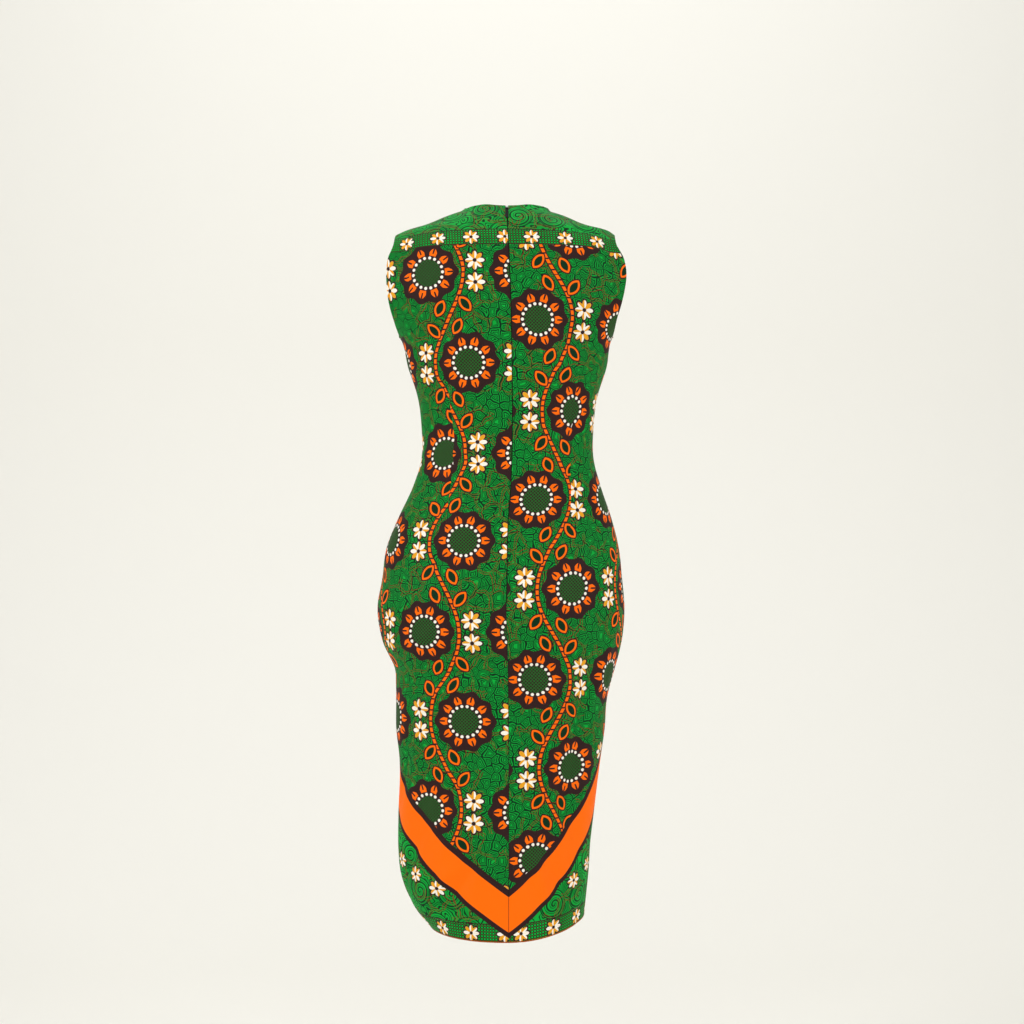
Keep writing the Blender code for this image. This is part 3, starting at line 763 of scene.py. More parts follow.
def with_flaps(piece):
    """A panel's outside with an allowance at both ends, and the flat places to match."""
    hung, normals = whole(piece, HUNG), NORMALS[piece.node]
    start = flap_columns(hung, normals)
    end = flap_columns(hung[:, ::-1], normals[:, ::-1])[:, ::-1]
    outside = np.concatenate([start, OUTSIDE[piece.node], end], axis=1)
    flat = np.pad(whole(piece, FLAT), ((0, 0), FLAP_PAD, (0, 0)), mode="edge")
    backs = np.array([crease.back for crease in FLAP]) + CLOTH / 2
    flat[:, :len(FLAP), 0] -= backs
    flat[:, -len(FLAP):, 0] += backs[::-1]
    return outside, flat


def dart_side(piece):
    """For each strip between two columns: -1 or 1 if it lies beyond a dart, and 0 between the darts."""
    columns = whole(piece, HUNG).shape[1]
    strip = np.arange(columns - 1)
    right_dart, left_dart = CENTRE - DART_COLUMN, columns - 1 - (CENTRE - DART_COLUMN)
    beyond = np.zeros(columns - 1)
    if -1 in piece.sides:
        beyond[strip < right_dart] = -1.0
    if 1 in piece.sides:
        beyond[strip >= left_dart] = 1.0
    return np.pad(beyond, FLAP_PAD, mode="edge")


print("allowance", 1000 * FLAP[0].back, "mm")

# %% Lay the sheets as meshes


def cloth_panel(piece):
    """One panel as an open sheet with its two maps, its double edges and its wall, and the flat places."""
    outside, flat = with_flaps(piece)
    rows, columns = outside.shape[:2]
    pad = ((0, 0), FLAP_PAD)
    intake = np.pad(dart_width(piece.face, whole(piece, HALVES)[..., 2]), pad, mode="edge")
    turned = np.pad(whole(piece, {key: made[1] for key, made in FINISH.items()}), pad)
    row, column = np.mgrid[0:rows - 1, 0:columns - 1]
    # Above the underarm only the centre back has a seam, so no other edge keeps its allowance there
    keep = np.ones(row.shape, bool)
    if piece.sides != (1,):
        keep[SKIRT_ROWS:, :len(FLAP)] = False
    if piece.face < 0 or piece.sides == (1,):
        keep[SKIRT_ROWS:, -len(FLAP):] = False
    row, column = row[keep], column[keep]
    beyond = dart_side(piece)[column]
    corners = [(0, 0), (0, 1), (1, 1), (1, 0)] if piece.face < 0 else [(0, 0), (1, 0), (1, 1), (0, 1)]
    quads = np.stack([(row + rise) * columns + column + run for rise, run in corners], axis=1)
    places = np.stack([flat[row + rise, column + run] for rise, run in corners], axis=1)
    places[..., 0] += np.stack([beyond * intake[row + rise, column + run] for rise, run in corners], axis=1)
    used = np.unique(quads)
    number = np.zeros(rows * columns, int)
    number[used] = np.arange(len(used))
    mesh = bpy.data.meshes.new(piece.node + "_cloth")
    mesh.from_pydata(outside.reshape(-1, 3)[used].tolist(), [], number[quads].tolist())
    for name, shift in (("cloth", (0.0, 0.0)), ("print", piece.shift)):
        layer = mesh.uv_layers.new(name=name, do_init=False)
        layer.uv.foreach_set("vector", (places + np.array(shift)).astype(np.float32).ravel())
    mesh.shade_smooth()
    made = add_object(piece.node + "_cloth", mesh)
    group = made.vertex_groups.new(name="double")
    weights = turned.ravel()[used]
    for weight in (0.0, 1.0):
        group.add(np.flatnonzero(weights == weight).tolist(), weight, "REPLACE")
    wall = made.modifiers.new("Wall", "SOLIDIFY")
    wall.thickness = DOUBLE
    wall.offset = -1.0
    wall.vertex_group = "double"
    wall.thickness_vertex_group = THIN / DOUBLE
    return made, places


PANELS = {}
for piece in PIECES:
    panel, places = cloth_panel(piece)
    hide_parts(piece.node)
    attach(panel, "dress")
    PANELS[piece.node] = panel

# %% [markdown]
# ## Numbers that vary over the cloth
# A print can be painted by a node tree: each node takes numbers that vary over the cloth and gives another.
# Long trees are hard to read as boxes, so this small class lets the tree be written as sums instead. One
# table gives each kind of sum its name. An image of a print would be quicker, but a tree stays sharp at any
# size and its colours can be changed.

# %% Write node trees as sums


def connect(value, slot):
    """Puts a plain number, a colour or another node's output into a node's input."""
    if isinstance(value, Value):
        slot.id_data.links.new(value.socket, slot)
    else:
        slot.default_value = (*value, 1.0) if isinstance(value, tuple) else value


def add_node(tree, kind, inputs, **settings):
    """Adds a node with these values in its inputs, by number or name, and gives its outputs."""
    node = tree.nodes.new(kind)
    for name, setting in settings.items():
        setattr(node, name, setting)
    for name, value in inputs.items():
        connect(value, node.inputs[name])
    return [Value(output) for output in node.outputs]


class Value:
    """A number or colour at every point of the cloth. It can be used in sums like a plain number."""

    def __init__(self, socket):
        self.socket = socket
        self.tree = socket.id_data

    def math(self, operation, *others, clamp=False):
        inputs = dict(enumerate((self, *others)))
        return add_node(self.tree, "ShaderNodeMath", inputs, operation=operation, use_clamp=clamp)[0]

    def repeat(self, low, high):
        return self.math("WRAP", high, low)

    def below(self, limit, soft):
        """A mask: 1 where the number is under the limit, with an edge this soft."""
        return self.times_plus(-1.0 / soft, limit / soft + 0.5, clamp=True)

    def above(self, limit, soft):
        return self.times_plus(1.0 / soft, 0.5 - limit / soft, clamp=True)

    def near(self, middle, reach, soft):
        """A mask: 1 where the number is within reach of the middle value."""
        return (self - middle).size().below(reach, soft)

    def between(self, low, high, soft):
        return self.near((low + high) / 2, (high - low) / 2, soft)


OPERATIONS = {
    "__add__": "ADD", "__sub__": "SUBTRACT", "__mul__": "MULTIPLY", "__truediv__": "DIVIDE",
    "times_plus": "MULTIPLY_ADD", "size": "ABSOLUTE", "most": "MAXIMUM", "least": "MINIMUM",
    "fract": "FRACT", "floor": "FLOOR", "rounded": "ROUND", "root": "SQRT",
    "sine": "SINE", "cosine": "COSINE", "turn_over": "ARCTAN2",
}
for name, operation in OPERATIONS.items():
    setattr(Value, name, partialmethod(Value.math, operation))


def distance_from(x, y, at_x=0.0):
    aside = x - at_x
    return aside.times_plus(aside, y * y).root()


def polar(x, y, at_x=0.0):
    """Distance and turn of each point round a centre."""
    return distance_from(x, y, at_x), y.turn_over(x - at_x)


def lengthened(slope):
    """How much longer a sloping line is than the same line laid level."""
    return slope.times_plus(slope, 1.0).root()


def lines(place, step, half, soft):
    """A mask of even lines. Their half width and softness are shares of the step."""
    return (place / step).fract().near(0.5, half, soft)


def choose(mask, low, high):
    """One number where the mask is 0 and another where it is 1."""
    return add_node(mask.tree, "ShaderNodeMix", {0: mask, 2: low, 3: high})[0]


def printed(colour, *layers):
    """A colour with each layer's ink laid over it in turn, where that layer's mask is 1."""
    for ink, mask in layers:
        inputs = {0: mask, 6: colour, 7: ink}
        colour = add_node(mask.tree, "ShaderNodeMix", inputs, data_type="RGBA")[2]
    return colour


def noise(place, scale, detail, roughness=0.5, dimensions="2D"):
    """A cloudy number between 0 and 1, with about this many clouds to the metre."""
    inputs = {"Vector": place, "Scale": scale, "Detail": detail, "Roughness": roughness}
    return add_node(place.tree, "ShaderNodeTexNoise", inputs, noise_dimensions=dimensions)[0]


def cell_depth(place, size):
    """How far inside its cell each point is, for scattered cells about this wide."""
    inputs = {"Vector": place, "Scale": 1 / size}
    return add_node(place.tree, "ShaderNodeTexVoronoi", inputs, voronoi_dimensions="2D",
                    feature="DISTANCE_TO_EDGE")[0]


def combined(x, y):
    """Two numbers as one place."""
    return add_node(x.tree, "ShaderNodeCombineXYZ", {0: x, 1: y})[0]


def parts_of(place):
    """The numbers x, y and z of a place."""
    return add_node(place.tree, "ShaderNodeSeparateXYZ", {0: place})


def surface(tree, colour, roughness, shine, height, strength, depth):
    """Gives a material its colour and gloss, and a bump from this height."""
    bump = add_node(tree, "ShaderNodeBump", {"Strength": strength, "Distance": depth, "Height": height})[0]
    looks = {"Base Color": colour, "Roughness": roughness, "Specular IOR Level": shine, "Normal": bump}
    for name, value in looks.items():
        connect(value, tree.nodes["Principled BSDF"].inputs[name])


wax_print = bpy.data.materials.new("wax_print_cotton")
wax_print.use_nodes = True
print_tree = wax_print.node_tree
cloth_place, print_place = [add_node(print_tree, "ShaderNodeUVMap", {}, uv_map=name)[0]
                            for name in ("cloth", "print")]
across, up, _ = parts_of(cloth_place)
print_x, print_y, _ = parts_of(print_place)
print("tree started with", len(print_tree.nodes), "nodes")

# %% [markdown]
# ## Where the print changes
# The cloth is a border print. A band of fine squares with daisies runs along the hem and again at the yoke,
# scrolls fill the strips beyond it, and a broad orange V crosses the skirt. All of these lie at fixed places
# of the flat cloth, so plain masks divide it. The V's arms grow steeper on the way out, so its width has to
# be measured square to its slope: measured straight up, the arms would get thin at the sides.

# %% Divide the cloth
LINE = 0.0005  # softness of a printed edge
SWITCH = 0.001  # how sharply a side is told from the other
YOKE_EDGES = np.array([-0.0705, -0.047])  # heights on the dress of the yoke band's two edges
YOKE_FOOT, YOKE_HEAD = up_cloth(1, RING["seam"](YOKE_EDGES), YOKE_EDGES).tolist()
HEM_BAND = 0.0265
BAND_LINE = 0.0009  # half the width of the dark line along each edge of a band
V_FOOT, V_HEAD = 0.0123, 0.0547
V_SLOPE = 0.66
LEFT_STEEPER, RIGHT_STEEPER = 0.75, 1.80  # how fast each arm's slope grows on the way out
V_UNDER, V_OVER = 0.0067, 0.0092  # widths of the V's dark edges

bank = across.size()
steeper = bank * across.below(0.0, SWITCH).times_plus(RIGHT_STEEPER - LEFT_STEEPER, LEFT_STEEPER)
v_height = bank * (steeper + V_SLOPE)
slant = (up - v_height) / lengthened(steeper.times_plus(2.0, V_SLOPE))
orange_v = slant.between(V_FOOT, V_HEAD, LINE)
dark_v = slant.between(V_FOOT - V_UNDER, V_HEAD + V_OVER, LINE)
field = slant.above(V_HEAD, LINE) * up.below(YOKE_FOOT, LINE)
yoke_band = up.between(YOKE_FOOT, YOKE_HEAD, LINE)
band = up.below(HEM_BAND, LINE).most(yoke_band)
from_edge = (up - HEM_BAND).size().least((up - YOKE_FOOT).size()).least((up - YOKE_HEAD).size())
band_edge = from_edge.below(BAND_LINE, LINE)
print(f"yoke band {YOKE_FOOT:.3f} to {YOKE_HEAD:.3f} m above the hem")

# %% [markdown]
# ## Crackle ground
# The green is a resist print: wax is cracked before the dye bath, and the dye runs into the cracks as a web
# of fine dark lines. Cells round scattered points give the same web, and a noise bends them so that no line
# is straight. A photograph of crackle would repeat, and this never does.

# %% Crack the wax
GREEN = (0.0010, 0.380, 0.040)
SOFT_GREEN = (0.0008, 0.205, 0.022)
DEEP_GREEN = (0.0010, 0.026, 0.008)
RUST = (0.150, 0.050, 0.008)
AUBERGINE = (0.028, 0.011, 0.011)
ORANGE = (1.0, 0.150, 0.0)
AMBER = (0.78, 0.340, 0.016)
CREAM = (0.90, 0.86, 0.76)
CELL, RUST_CELL = 0.0125, 0.024
WOBBLE, BENDS = 0.0030, 85.0  # how far the cells' walls are bent, and how often to the metre
CLOUDS = 24.0  # of softer green, to the metre
CRACKS = [(0.0, 0.072), (0.215, 0.042), (0.365, 0.036)]  # middle and half width of a cell's lines
CRACK_SOFT = 0.03
RUST_SHARE = 0.9

bend, bend_too = [noise(place, BENDS, 0.0) for place in (print_place, combined(print_y, print_x))]
bent = combined(bend.times_plus(2 * WOBBLE, print_x - WOBBLE),
                bend_too.times_plus(2 * WOBBLE, print_y - WOBBLE))
crack = cell_depth(bent, CELL)
web = crack.near(*CRACKS[0], CRACK_SOFT)
for middle, half in CRACKS[1:]:
    web = web.most(crack.near(middle, half, CRACK_SOFT))
uneven = noise(print_place, CLOUDS, 2.0)
rust_web = cell_depth(bent, RUST_CELL).near(0.07, 0.022, 0.02) * uneven.above(0.46, 0.03) * RUST_SHARE
ground = printed(GREEN, (SOFT_GREEN, crack.below(0.28, 0.06) * 0.40),
                 (SOFT_GREEN, uneven.above(0.50, 0.30) * 0.30), (DEEP_GREEN, web), (RUST, rust_web))
print("ground", len(print_tree.nodes), "nodes")

# %% [markdown]
# ## Scrolls and squares
# Beyond the V and above the yoke band, the ground is a bolder scroll: spirals four centimetres wide, with
# curling lines between. A spiral is where a turn and a distance agree. The bands are small squares, drawn as
# two sets of lines.

# %% Draw the scrolls and squares
SCROLL = 0.052  # from one spiral to the next
SPIRAL, SPIRAL_RIM, RIM_HALF = 0.020, 0.0212, 0.0008
CURLS_FROM, CURLS = 0.0215, 17.0
COIL = 0.0078
SQUARE = 0.0042

scroll_row = (print_y / SCROLL).floor()
scroll_x = scroll_row.times_plus(SCROLL / 2, print_x).repeat(-SCROLL / 2, SCROLL / 2)
scroll_y = print_y.repeat(0.0, SCROLL) - SCROLL / 2
scroll_reach, scroll_turn = polar(scroll_x, scroll_y)
coils = (scroll_reach / COIL - scroll_turn / (2 * math.pi)).fract()
spiral = coils.near(0.5, 0.15, 0.06).most(coils.near(0.92, 0.05, 0.04)) * scroll_reach.below(SPIRAL, LINE)
curls = lines(uneven, 1 / CURLS, 0.17, 0.06) * scroll_reach.above(CURLS_FROM, LINE)
scrolls = spiral.most(curls).most(scroll_reach.near(SPIRAL_RIM, RIM_HALF, LINE))
patches = uneven.above(0.50, 0.20)
scroll_ground = printed(GREEN, (SOFT_GREEN, patches * 0.6), (DEEP_GREEN, scrolls), (RUST, rust_web))
columns_across, rows_up = [lines(place, SQUARE, 0.18, 0.10) for place in (print_x, print_y)]
band_ground = printed(GREEN, (SOFT_GREEN, patches * 0.5), (DEEP_GREEN, columns_across.most(rows_up)),
                      (RUST, columns_across * rows_up * 0.7))
print("scrolls", len(print_tree.nodes), "nodes")

# %% [markdown]
# ## Vines and rosettes
# The print's own large motif isn't copied. In its place stands a plain wax print pattern of the same colours
# and scale: orange vines wave up the cloth, with a rosette in each bend, and leaves and daisies between. It
# is drawn once, in one cell, and the cell is flipped from row to row so that the vine runs on.

# %% Grow the vines
CELL_WIDTH, CELL_LEFT = 0.138, -0.079
HALF_WAVE, SWING = 0.134, 0.024
VINE_HALF = 0.0021
EDGE_LINE = 0.0017  # of dark cloth round vines and leaves
DASH_STEP, DASH_FROM = 0.0085, 0.72  # the dash starts at this share of its step

row = (print_y / HALF_WAVE).floor()
flip = (row * 0.5).fract().times_plus(-4.0, 1.0)
cell_x = (print_x * flip).repeat(CELL_LEFT, CELL_LEFT + CELL_WIDTH)
cell_y = print_y.repeat(0.0, HALF_WAVE) - HALF_WAVE / 2
wave_turn = cell_y * (math.pi / HALF_WAVE)
lean = wave_turn.sine() * (SWING * math.pi / HALF_WAVE)
from_vine = (cell_x - wave_turn.cosine() * SWING).size() / lengthened(lean)
vine = from_vine.below(VINE_HALF, LINE)
dash = (cell_y / DASH_STEP).fract().above(DASH_FROM, 0.1) * vine
print("vine swings", SWING, "m each way")

# %% Open the rosettes
ROSETTE_X = -0.029
ROSETTE, SCALLOP = 0.0445, 0.0022  # radius, and how far the scallops go in and out
PETALS = 10
PETAL_FOOT, PETAL_TIP, TIP_SWING = 0.0265, 0.0335, 0.0050
VEIN_FOOT = 0.0300
BEADS, BEAD_RING, BEAD_HALF = 18, 0.0228, 0.0023
HATCH = 0.0050  # from line to line, measured along the thread
HATCH_SHARE = 0.72

bloom, bloom_turn = polar(cell_x, cell_y, ROSETTE_X)
wave = (bloom_turn * PETALS).cosine()
rim = bloom - wave * SCALLOP
petal_end = (bloom - wave.times_plus(TIP_SWING, PETAL_TIP)).below(0.0, LINE)
petal = petal_end * bloom.above(PETAL_FOOT, LINE) * wave.above(-0.25, 0.25)
petal_vein = petal * wave.above(0.93, 0.06) * bloom.above(VEIN_FOOT, LINE)
bead_turn = (bloom_turn * (BEADS / (2 * math.pi))).repeat(-0.5, 0.5)
bead = distance_from(bloom - BEAD_RING, bead_turn * (2 * math.pi * BEAD_RING / BEADS)).below(BEAD_HALF, LINE)
disc = bloom.below(BEAD_RING - BEAD_HALF - LINE, LINE)
hatch = lines(cell_x + cell_y, HATCH, 0.11, 0.10).most(lines(cell_x - cell_y, HATCH, 0.11, 0.10))
print("rosette", len(print_tree.nodes), "nodes")

# %% Set the leaves
Leaf = namedtuple("Leaf", "x y half_length turn bow")
LEAVES = [Leaf(0.0255, 0.0480, 0.0135, 38, 0.0160), Leaf(-0.0125, 0.0535, 0.0130, -28, 0.0160)]
LEAF_RING, LEAF_RING_HALF, LEAF_HEART = 0.0017, 0.0016, 0.0030


def leaf_inset(leaf):
    """How far inside a leaf each point is: a leaf is where two large circles overlap."""
    turn = math.radians(leaf.turn)
    dx, dy = cell_x - leaf.x, cell_y.size() - leaf.y
    along = dx * math.sin(turn) + dy * math.cos(turn)
    aside = (dx * math.cos(turn) - dy * math.sin(turn)).size()
    back = (leaf.half_length ** 2 - leaf.bow ** 2 / 4) / leaf.bow
    radius = back + leaf.bow / 2
    return distance_from(aside, along, -back).times_plus(-1.0, radius)


inset = leaf_inset(LEAVES[0]).most(leaf_inset(LEAVES[1]))
leaf_ring = inset.near(LEAF_RING, LEAF_RING_HALF, LINE)
leaf_heart = inset.above(LEAF_HEART, LINE)
leaf_and_rim = inset.above(-EDGE_LINE, LINE).most(rim.below(ROSETTE, LINE))
stain = from_vine.below(VINE_HALF + EDGE_LINE, LINE).most(leaf_and_rim)
print("leaves", len(print_tree.nodes), "nodes")

# %% [markdown]
# ## Daisies
# Daisies stand in the gaps between the vines, along both bands and under the V. Each has eight petals, some
# cream and some amber. One drawing serves all of them: masks first pick which daisy each point is near, and
# then the petals are worked out from the turn and distance round its middle.

# %% Scatter the daisies
DAISY, BAND_DAISY = 0.0145, 0.0118  # radius in the field, and along the bands
FIELD_X, FIELD_Y = 0.0420, 0.0165  # of the pair of daisies in each cell
BAND_STEP = 0.050
HEM_DAISY_UP = 0.0125
YOKE_STEP = 0.0165  # how much further on the yoke's daisies start than the hem's
HALFWAY_UP = 0.5
LOW_START, LOW_STEP = 0.105, 0.040  # across the cloth, of the daisies under the V
LOW_HEIGHT, LOW_RISE = 0.074, 0.0164  # of the first of them, and from each to the next
DAISY_PETALS = 8
PETAL_MIDDLE, PETAL_LONG, PETAL_WIDE = 0.60, 0.40, 0.225  # as shares of the daisy's radius
EYE = 0.45
GOLDEN, LIT_SIDE = 0.618, 0.33  # how the amber moves on from petal to petal, and from side to side

step = up.above(HALFWAY_UP, 0.01) * across.below(0.0, SWITCH) * YOKE_STEP
band_x = (print_x + step).repeat(-BAND_STEP / 2, BAND_STEP / 2)
band_y = (up - HEM_DAISY_UP).size().least((up - (YOKE_FOOT + YOKE_HEAD) / 2).size())
low_number = ((bank - LOW_START) / LOW_STEP).rounded()
low_x = (bank - LOW_START).repeat(-LOW_STEP / 2, LOW_STEP / 2)
low_y = low_number.times_plus(-LOW_RISE, up) - LOW_HEIGHT
low_row = slant.below(V_FOOT - V_UNDER, LINE) * low_number.above(-0.5, 0.1) * up.above(HEM_BAND, LINE)
in_field = field * band.times_plus(-1.0, 1.0)
daisy_x = choose(low_row, choose(in_field, band_x, cell_x - FIELD_X), low_x)
daisy_y = choose(low_row, choose(in_field, band_y, cell_y.size() - FIELD_Y), low_y)

daisy_far, daisy_turn = polar(daisy_x, daisy_y)
daisy_far = daisy_far / choose(in_field, BAND_DAISY, DAISY)
petal_count = daisy_turn * (DAISY_PETALS / (2 * math.pi))
petal_number = petal_count.rounded()
petal_turn = (petal_count - petal_number) * (2 * math.pi / DAISY_PETALS)
petal_along = (daisy_far * petal_turn.cosine() - PETAL_MIDDLE) / PETAL_LONG
petal_aside = daisy_far * petal_turn.sine() / PETAL_WIDE
petal_shape = petal_along.times_plus(petal_along, petal_aside * petal_aside)
daisy_here = in_field.most(band).most(low_row)
daisy_petal = petal_shape.below(1.0, 0.15) * daisy_here
daisy_dark = petal_shape.below(2.2, 0.3).most(daisy_far.below(EYE, 0.05)) * daisy_here
amber_turn = (petal_number * GOLDEN + petal_turn.above(0.0, 0.04) * LIT_SIDE).fract()
daisy_amber = amber_turn.above(0.50, 0.05) * daisy_petal
print("daisies", len(print_tree.nodes), "nodes")

# %% [markdown]
# ## Printing in order
# A wax print is built up from pale to dark. Here each colour is laid over the last, from the ground to the
# daisies, so an outline can cover the ground without touching the petals above it. Last comes painted shade:
# a fine dark line down the pressed centre back seam, where its groove would be in shadow. The groove alone
# could give it, but soft light reaches into it.

# %% Lay the colours
HEM_LINE = 0.0018
HEM_BROWN = (0.42, 0.085, 0.008)
# painted shade: the dark colour laid along the centre back seam's groove
SEAM_SHADE = (0.012, 0.012, 0.010)
SEAM_HALF, SEAM_SHARE = 0.0005, 0.85
BACK_SHIFT = 0.033  # only the backs were laid further along the cloth than this

off_v = dark_v.below(0.5, 0.5)
behind = (print_x - across).above(BACK_SHIFT, SWITCH)
motif = [(AUBERGINE, stain), (ORANGE, vine), (AUBERGINE, dash), (AUBERGINE, leaf_and_rim),
         (ORANGE, leaf_ring), (DEEP_GREEN, leaf_heart), (ORANGE, petal), (AUBERGINE, petal_vein),
         (CREAM, bead), (SOFT_GREEN, disc * hatch * HATCH_SHARE)]
daisies = [(AUBERGINE, daisy_dark), (CREAM, daisy_petal), (AMBER, daisy_amber)]
colour = printed(scroll_ground, (ground, field), (band_ground, band))
colour = printed(colour, *[(ink, mask * in_field) for ink, mask in motif])
colour = printed(colour, (AUBERGINE, band_edge * field.below(0.5, 0.5).most(yoke_band)),
                 (AUBERGINE, dark_v), (ORANGE, orange_v))
colour = printed(colour, *[(ink, mask * off_v) for ink, mask in daisies])
# the brown hem line, then painted shade down the backs' centre seam, where its groove would be dark
colour = printed(colour, (HEM_BROWN, up.below(HEM_LINE, LINE)),
                 (SEAM_SHADE, across.size().below(SEAM_HALF, SEAM_HALF) * behind * SEAM_SHARE))
print("print", len(print_tree.nodes), "nodes")

# %% [markdown]
# ## Cotton to the touch
# Wax print is a crisp plain weave with a faint polish. The weave is a fine bump of over and under, with a
# softer crumple from wear on top. The roughness varies a little, so that highlights break up along folds as
# they do on starched cotton. A flat shine would look like paper.

# %% Weave the cotton
THREAD = 0.00055
WEAVE_SHARE = 0.06  # of the weave in the bump, against the crumple
CRUMPLES = 70.0
COTTON_SHINE = 0.10
COTTON_BUMP, COTTON_RELIEF = 0.35, 0.0012

over_under = (across * (2 * math.pi / THREAD)).sine() * (up * (2 * math.pi / THREAD)).sine()
crumple = noise(print_place, CRUMPLES, 3.0, roughness=0.55)
surface(print_tree, colour, crumple.times_plus(0.22, 0.52), COTTON_SHINE, over_under * WEAVE_SHARE + crumple,
        COTTON_BUMP, COTTON_RELIEF)
for panel in PANELS.values():
    panel.data.materials.append(wax_print)
print("wax print cotton", len(print_tree.nodes), "nodes")

# %% [markdown]
# ## Zip
# A concealed zip hides its coil behind the seam: only the pull shows, at the neckline. The coil is one nylon
# wire wound round and round, sewn to each tape, and it runs from under the slider to the stop. The tapes, the
# slider and the pull keep their plain solids, which are true to size, and take finer materials.

# %% Follow the seam down


def fine_line(side, out, aside, top, bottom, step):
    """Points down the back beside the seam, this far out of the cloth's inside and to its side."""
    normals = NORMALS["back_panel_left"] if side > 0 else NORMALS["back_panel_right"][:, ::-1]
    line = offset_line(HUNG[1, side], normals, np.abs(FLAT[1, side][..., 0]), aside, out)[::-1]
    kept = line[(line[:, 2] < top) & (line[:, 2] > bottom)]
    return spaced(kept, np.linspace(0.0, 1.0, max(2, int(lengths_along(kept)[-1] / step))))


def wire(name, routes, radius, material):
    """Wires or threads along many routes, as one mesh object that rides on the dress."""
    curve = bpy.data.curves.new(name, "CURVE")
    curve.dimensions = "3D"
    curve.bevel_depth = radius
    curve.bevel_resolution = 0
    curve.use_fill_caps = True
    for route in routes:
        spline = curve.splines.new("POLY")
        spline.points.add(len(route) - 1)
        points = np.pad(np.array(route), ((0, 0), (0, 1)), constant_values=1.0)
        spline.points.foreach_set("co", points.ravel())
    drawn = add_object(name, curve)
    graph = bpy.context.evaluated_depsgraph_get()
    mesh = bpy.data.meshes.new_from_object(drawn.evaluated_get(graph))
    bpy.data.objects.remove(drawn)
    mesh.materials.clear()
    mesh.materials.append(material)
    mesh.shade_smooth()
    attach(add_object(name, mesh), "dress")


print("seam followed in", len(HUNG[1, 1]), "rows")

# %% [markdown]
# ## Nylon, enamel and thread
# The tape is a fine herringbone twill, so it gets slanting ribs. The slider and pull are zinc under black
# enamel: smooth, with a soft gloss and a few rubbed places. Thread is two strands twisted together. Plain
# colours would do from afar, but then nothing would show what each one is made of.

# %% Finish the small parts
WORN = 420.0  # worn places to the metre
RIB_SHARE, RELIEF = 0.25, 0.0003
Small = namedtuple("Small", "name dark light roughness ribs turn bump shine")
SMALL = [
    Small("zip_tape_twill", (0.006, 0.007, 0.006), (0.016, 0.017, 0.015), 0.85, 0.00012, 0.7, 0.6, 0.25),
    Small("black_enamel", (0.004, 0.004, 0.004), (0.010, 0.010, 0.010), 0.50, 0.004, 0.0, 0.12, 0.10),
    Small("coil_nylon", (0.008, 0.008, 0.008), (0.020, 0.020, 0.019), 0.45, 0.0006, 0.3, 0.2, 0.25),
    Small("green_thread", (0.004, 0.15, 0.03), (0.008, 0.22, 0.05), 0.7, 0.00009, 0.9, 0.5, 0.25),
]


def small_material(small):
    """A material with fine slanting ribs, an uneven colour between two, and a matching bump."""
    material = bpy.data.materials.new(small.name)
    material.use_nodes = True
    tree = material.node_tree
    place = Value(tree.nodes.new("ShaderNodeTexCoord").outputs["Object"])
    x, _, z = parts_of(place)
    rib = (x * (math.sin(small.turn) / small.ribs) + z * (math.cos(small.turn) / small.ribs)).sine()
    worn = noise(place, WORN, 2.0, dimensions="3D")
    shade = printed(small.light, (small.dark, worn.above(0.5, 0.3)))
    surface(tree, shade, worn.times_plus(0.2, small.roughness - 0.1), small.shine,
            rib.times_plus(RIB_SHARE, worn), small.bump, RELIEF)
    return material


twill, enamel, nylon, thread = [small_material(small) for small in SMALL]
print("small materials", len(SMALL))

# %% Put the zip together
COIL_PITCH, COIL_HALF = 0.0012, 0.0009  # from turn to turn, and half the width of each row
COIL_WIRE = 0.00028
COIL_DEPTH = 0.0029  # of the coil's middle, behind the inside of the cloth
TURN_POINTS = 8
COIL_END = ZIP_BOTTOM + 0.004

for node, material in (("zip_tape", twill), ("zip_slider", enamel), ("zip_pull", enamel)):
    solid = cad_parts[node]
    solid.data.materials.clear()
    solid.data.materials.append(material)

slider_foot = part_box("zip_slider")[0][2]
coil_routes = []
for side in (1, -1):
    coil = fine_line(side, -COIL_DEPTH, COIL_HALF, slider_foot - 0.001, COIL_END, COIL_PITCH / TURN_POINTS)
    turn = np.arange(len(coil)) * (2 * math.pi / TURN_POINTS) + (math.pi if side < 0 else 0.0)
    coil[:, 0] += COIL_HALF * np.cos(turn)
    coil[:, 1] += COIL_HALF * np.sin(turn)
    coil_routes.append(coil)
wire("zip_coil", coil_routes, COIL_WIRE, nylon)
print("coil turns", len(coil_routes[0]) // TURN_POINTS)

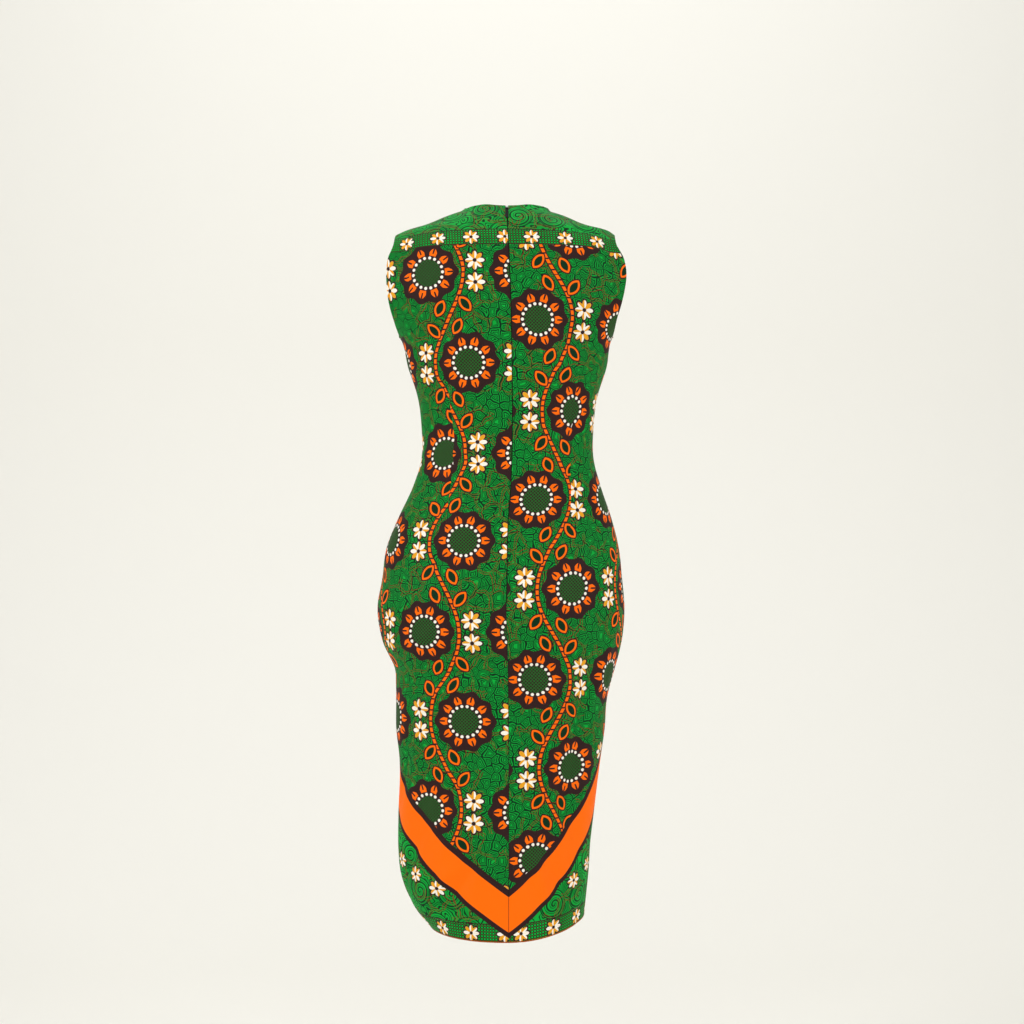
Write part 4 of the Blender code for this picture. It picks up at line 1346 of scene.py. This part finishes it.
# %% [markdown]
# ## Stitches
# From outside, nothing is sewn through. Inside, a row of lockstitch holds each tape to its allowance, and the
# hem is caught up by small slanting stitches. Each stitch is a short bar of thread: a painted line would
# lie flat on the cloth, and this one catches the light as thread does.

# %% Sew the zip and the hem
STITCH_UNIT = 0.0005
STITCH_STEP, STITCH_GAP = 5, 1  # in those units, from stitch to stitch and between them
THREAD_HALF = 0.00022
TAPE_SEAM = 0.0062  # from the seam to the row of stitches on the tape
TAPE_BACK = 0.0017  # of the tape's inner face, behind the inside of the cloth
CATCH_STEP = 0.0085
CATCH_RISE, CATCH_SLANT = 0.55, 0.30  # of the way up to the next row, and on to the next stitch

sewn = []
for side in (1, -1):
    row_points = fine_line(side, -TAPE_BACK, TAPE_SEAM, slider_foot - 0.002, COIL_END, STITCH_UNIT)
    sewn += [row_points[[start, start + STITCH_STEP - STITCH_GAP]]
             for start in range(0, len(row_points) - STITCH_STEP, STITCH_STEP)]
wire("zip_stitches", sewn, THREAD_HALF, thread)

caught = []
for piece in PIECES:
    hung, normals = whole(piece, HUNG), NORMALS[piece.node]
    columns = np.arange(hung.shape[1])
    last_turned = (lengths_along(hung) < HEM_TURNING).sum(axis=0) - 1
    foot, head = [hung[rows, columns] + normals[rows, columns] * (CLOTH - wall - THREAD_HALF / 2)
                  for rows, wall in ((last_turned, DOUBLE), (last_turned + 1, THIN))]
    stitches = int(lengths_along(foot)[-1] / CATCH_STEP)
    spots = spaced(np.concatenate([foot, head], axis=1), np.linspace(0.01, 0.99, stitches))
    low, high = spots[:-1, :3], spots[:-1, 3:]
    onward = spots[1:, :3] - low
    tops = low + (high - low) * CATCH_RISE + onward * CATCH_SLANT
    caught += list(np.stack([low, tops], axis=1))
wire("hem_stitches", caught, THREAD_HALF, thread)
print(len(sewn), "zip stitches and", len(caught), "hem stitches")

# %% [markdown]
# ## Last step
# The real pieces may be a little larger than the plain solids, but not by much, or the dress would no longer
# hang where the solids say. Last, the scene is brought up to date.

# %% Finish
bpy.context.view_layer.update()
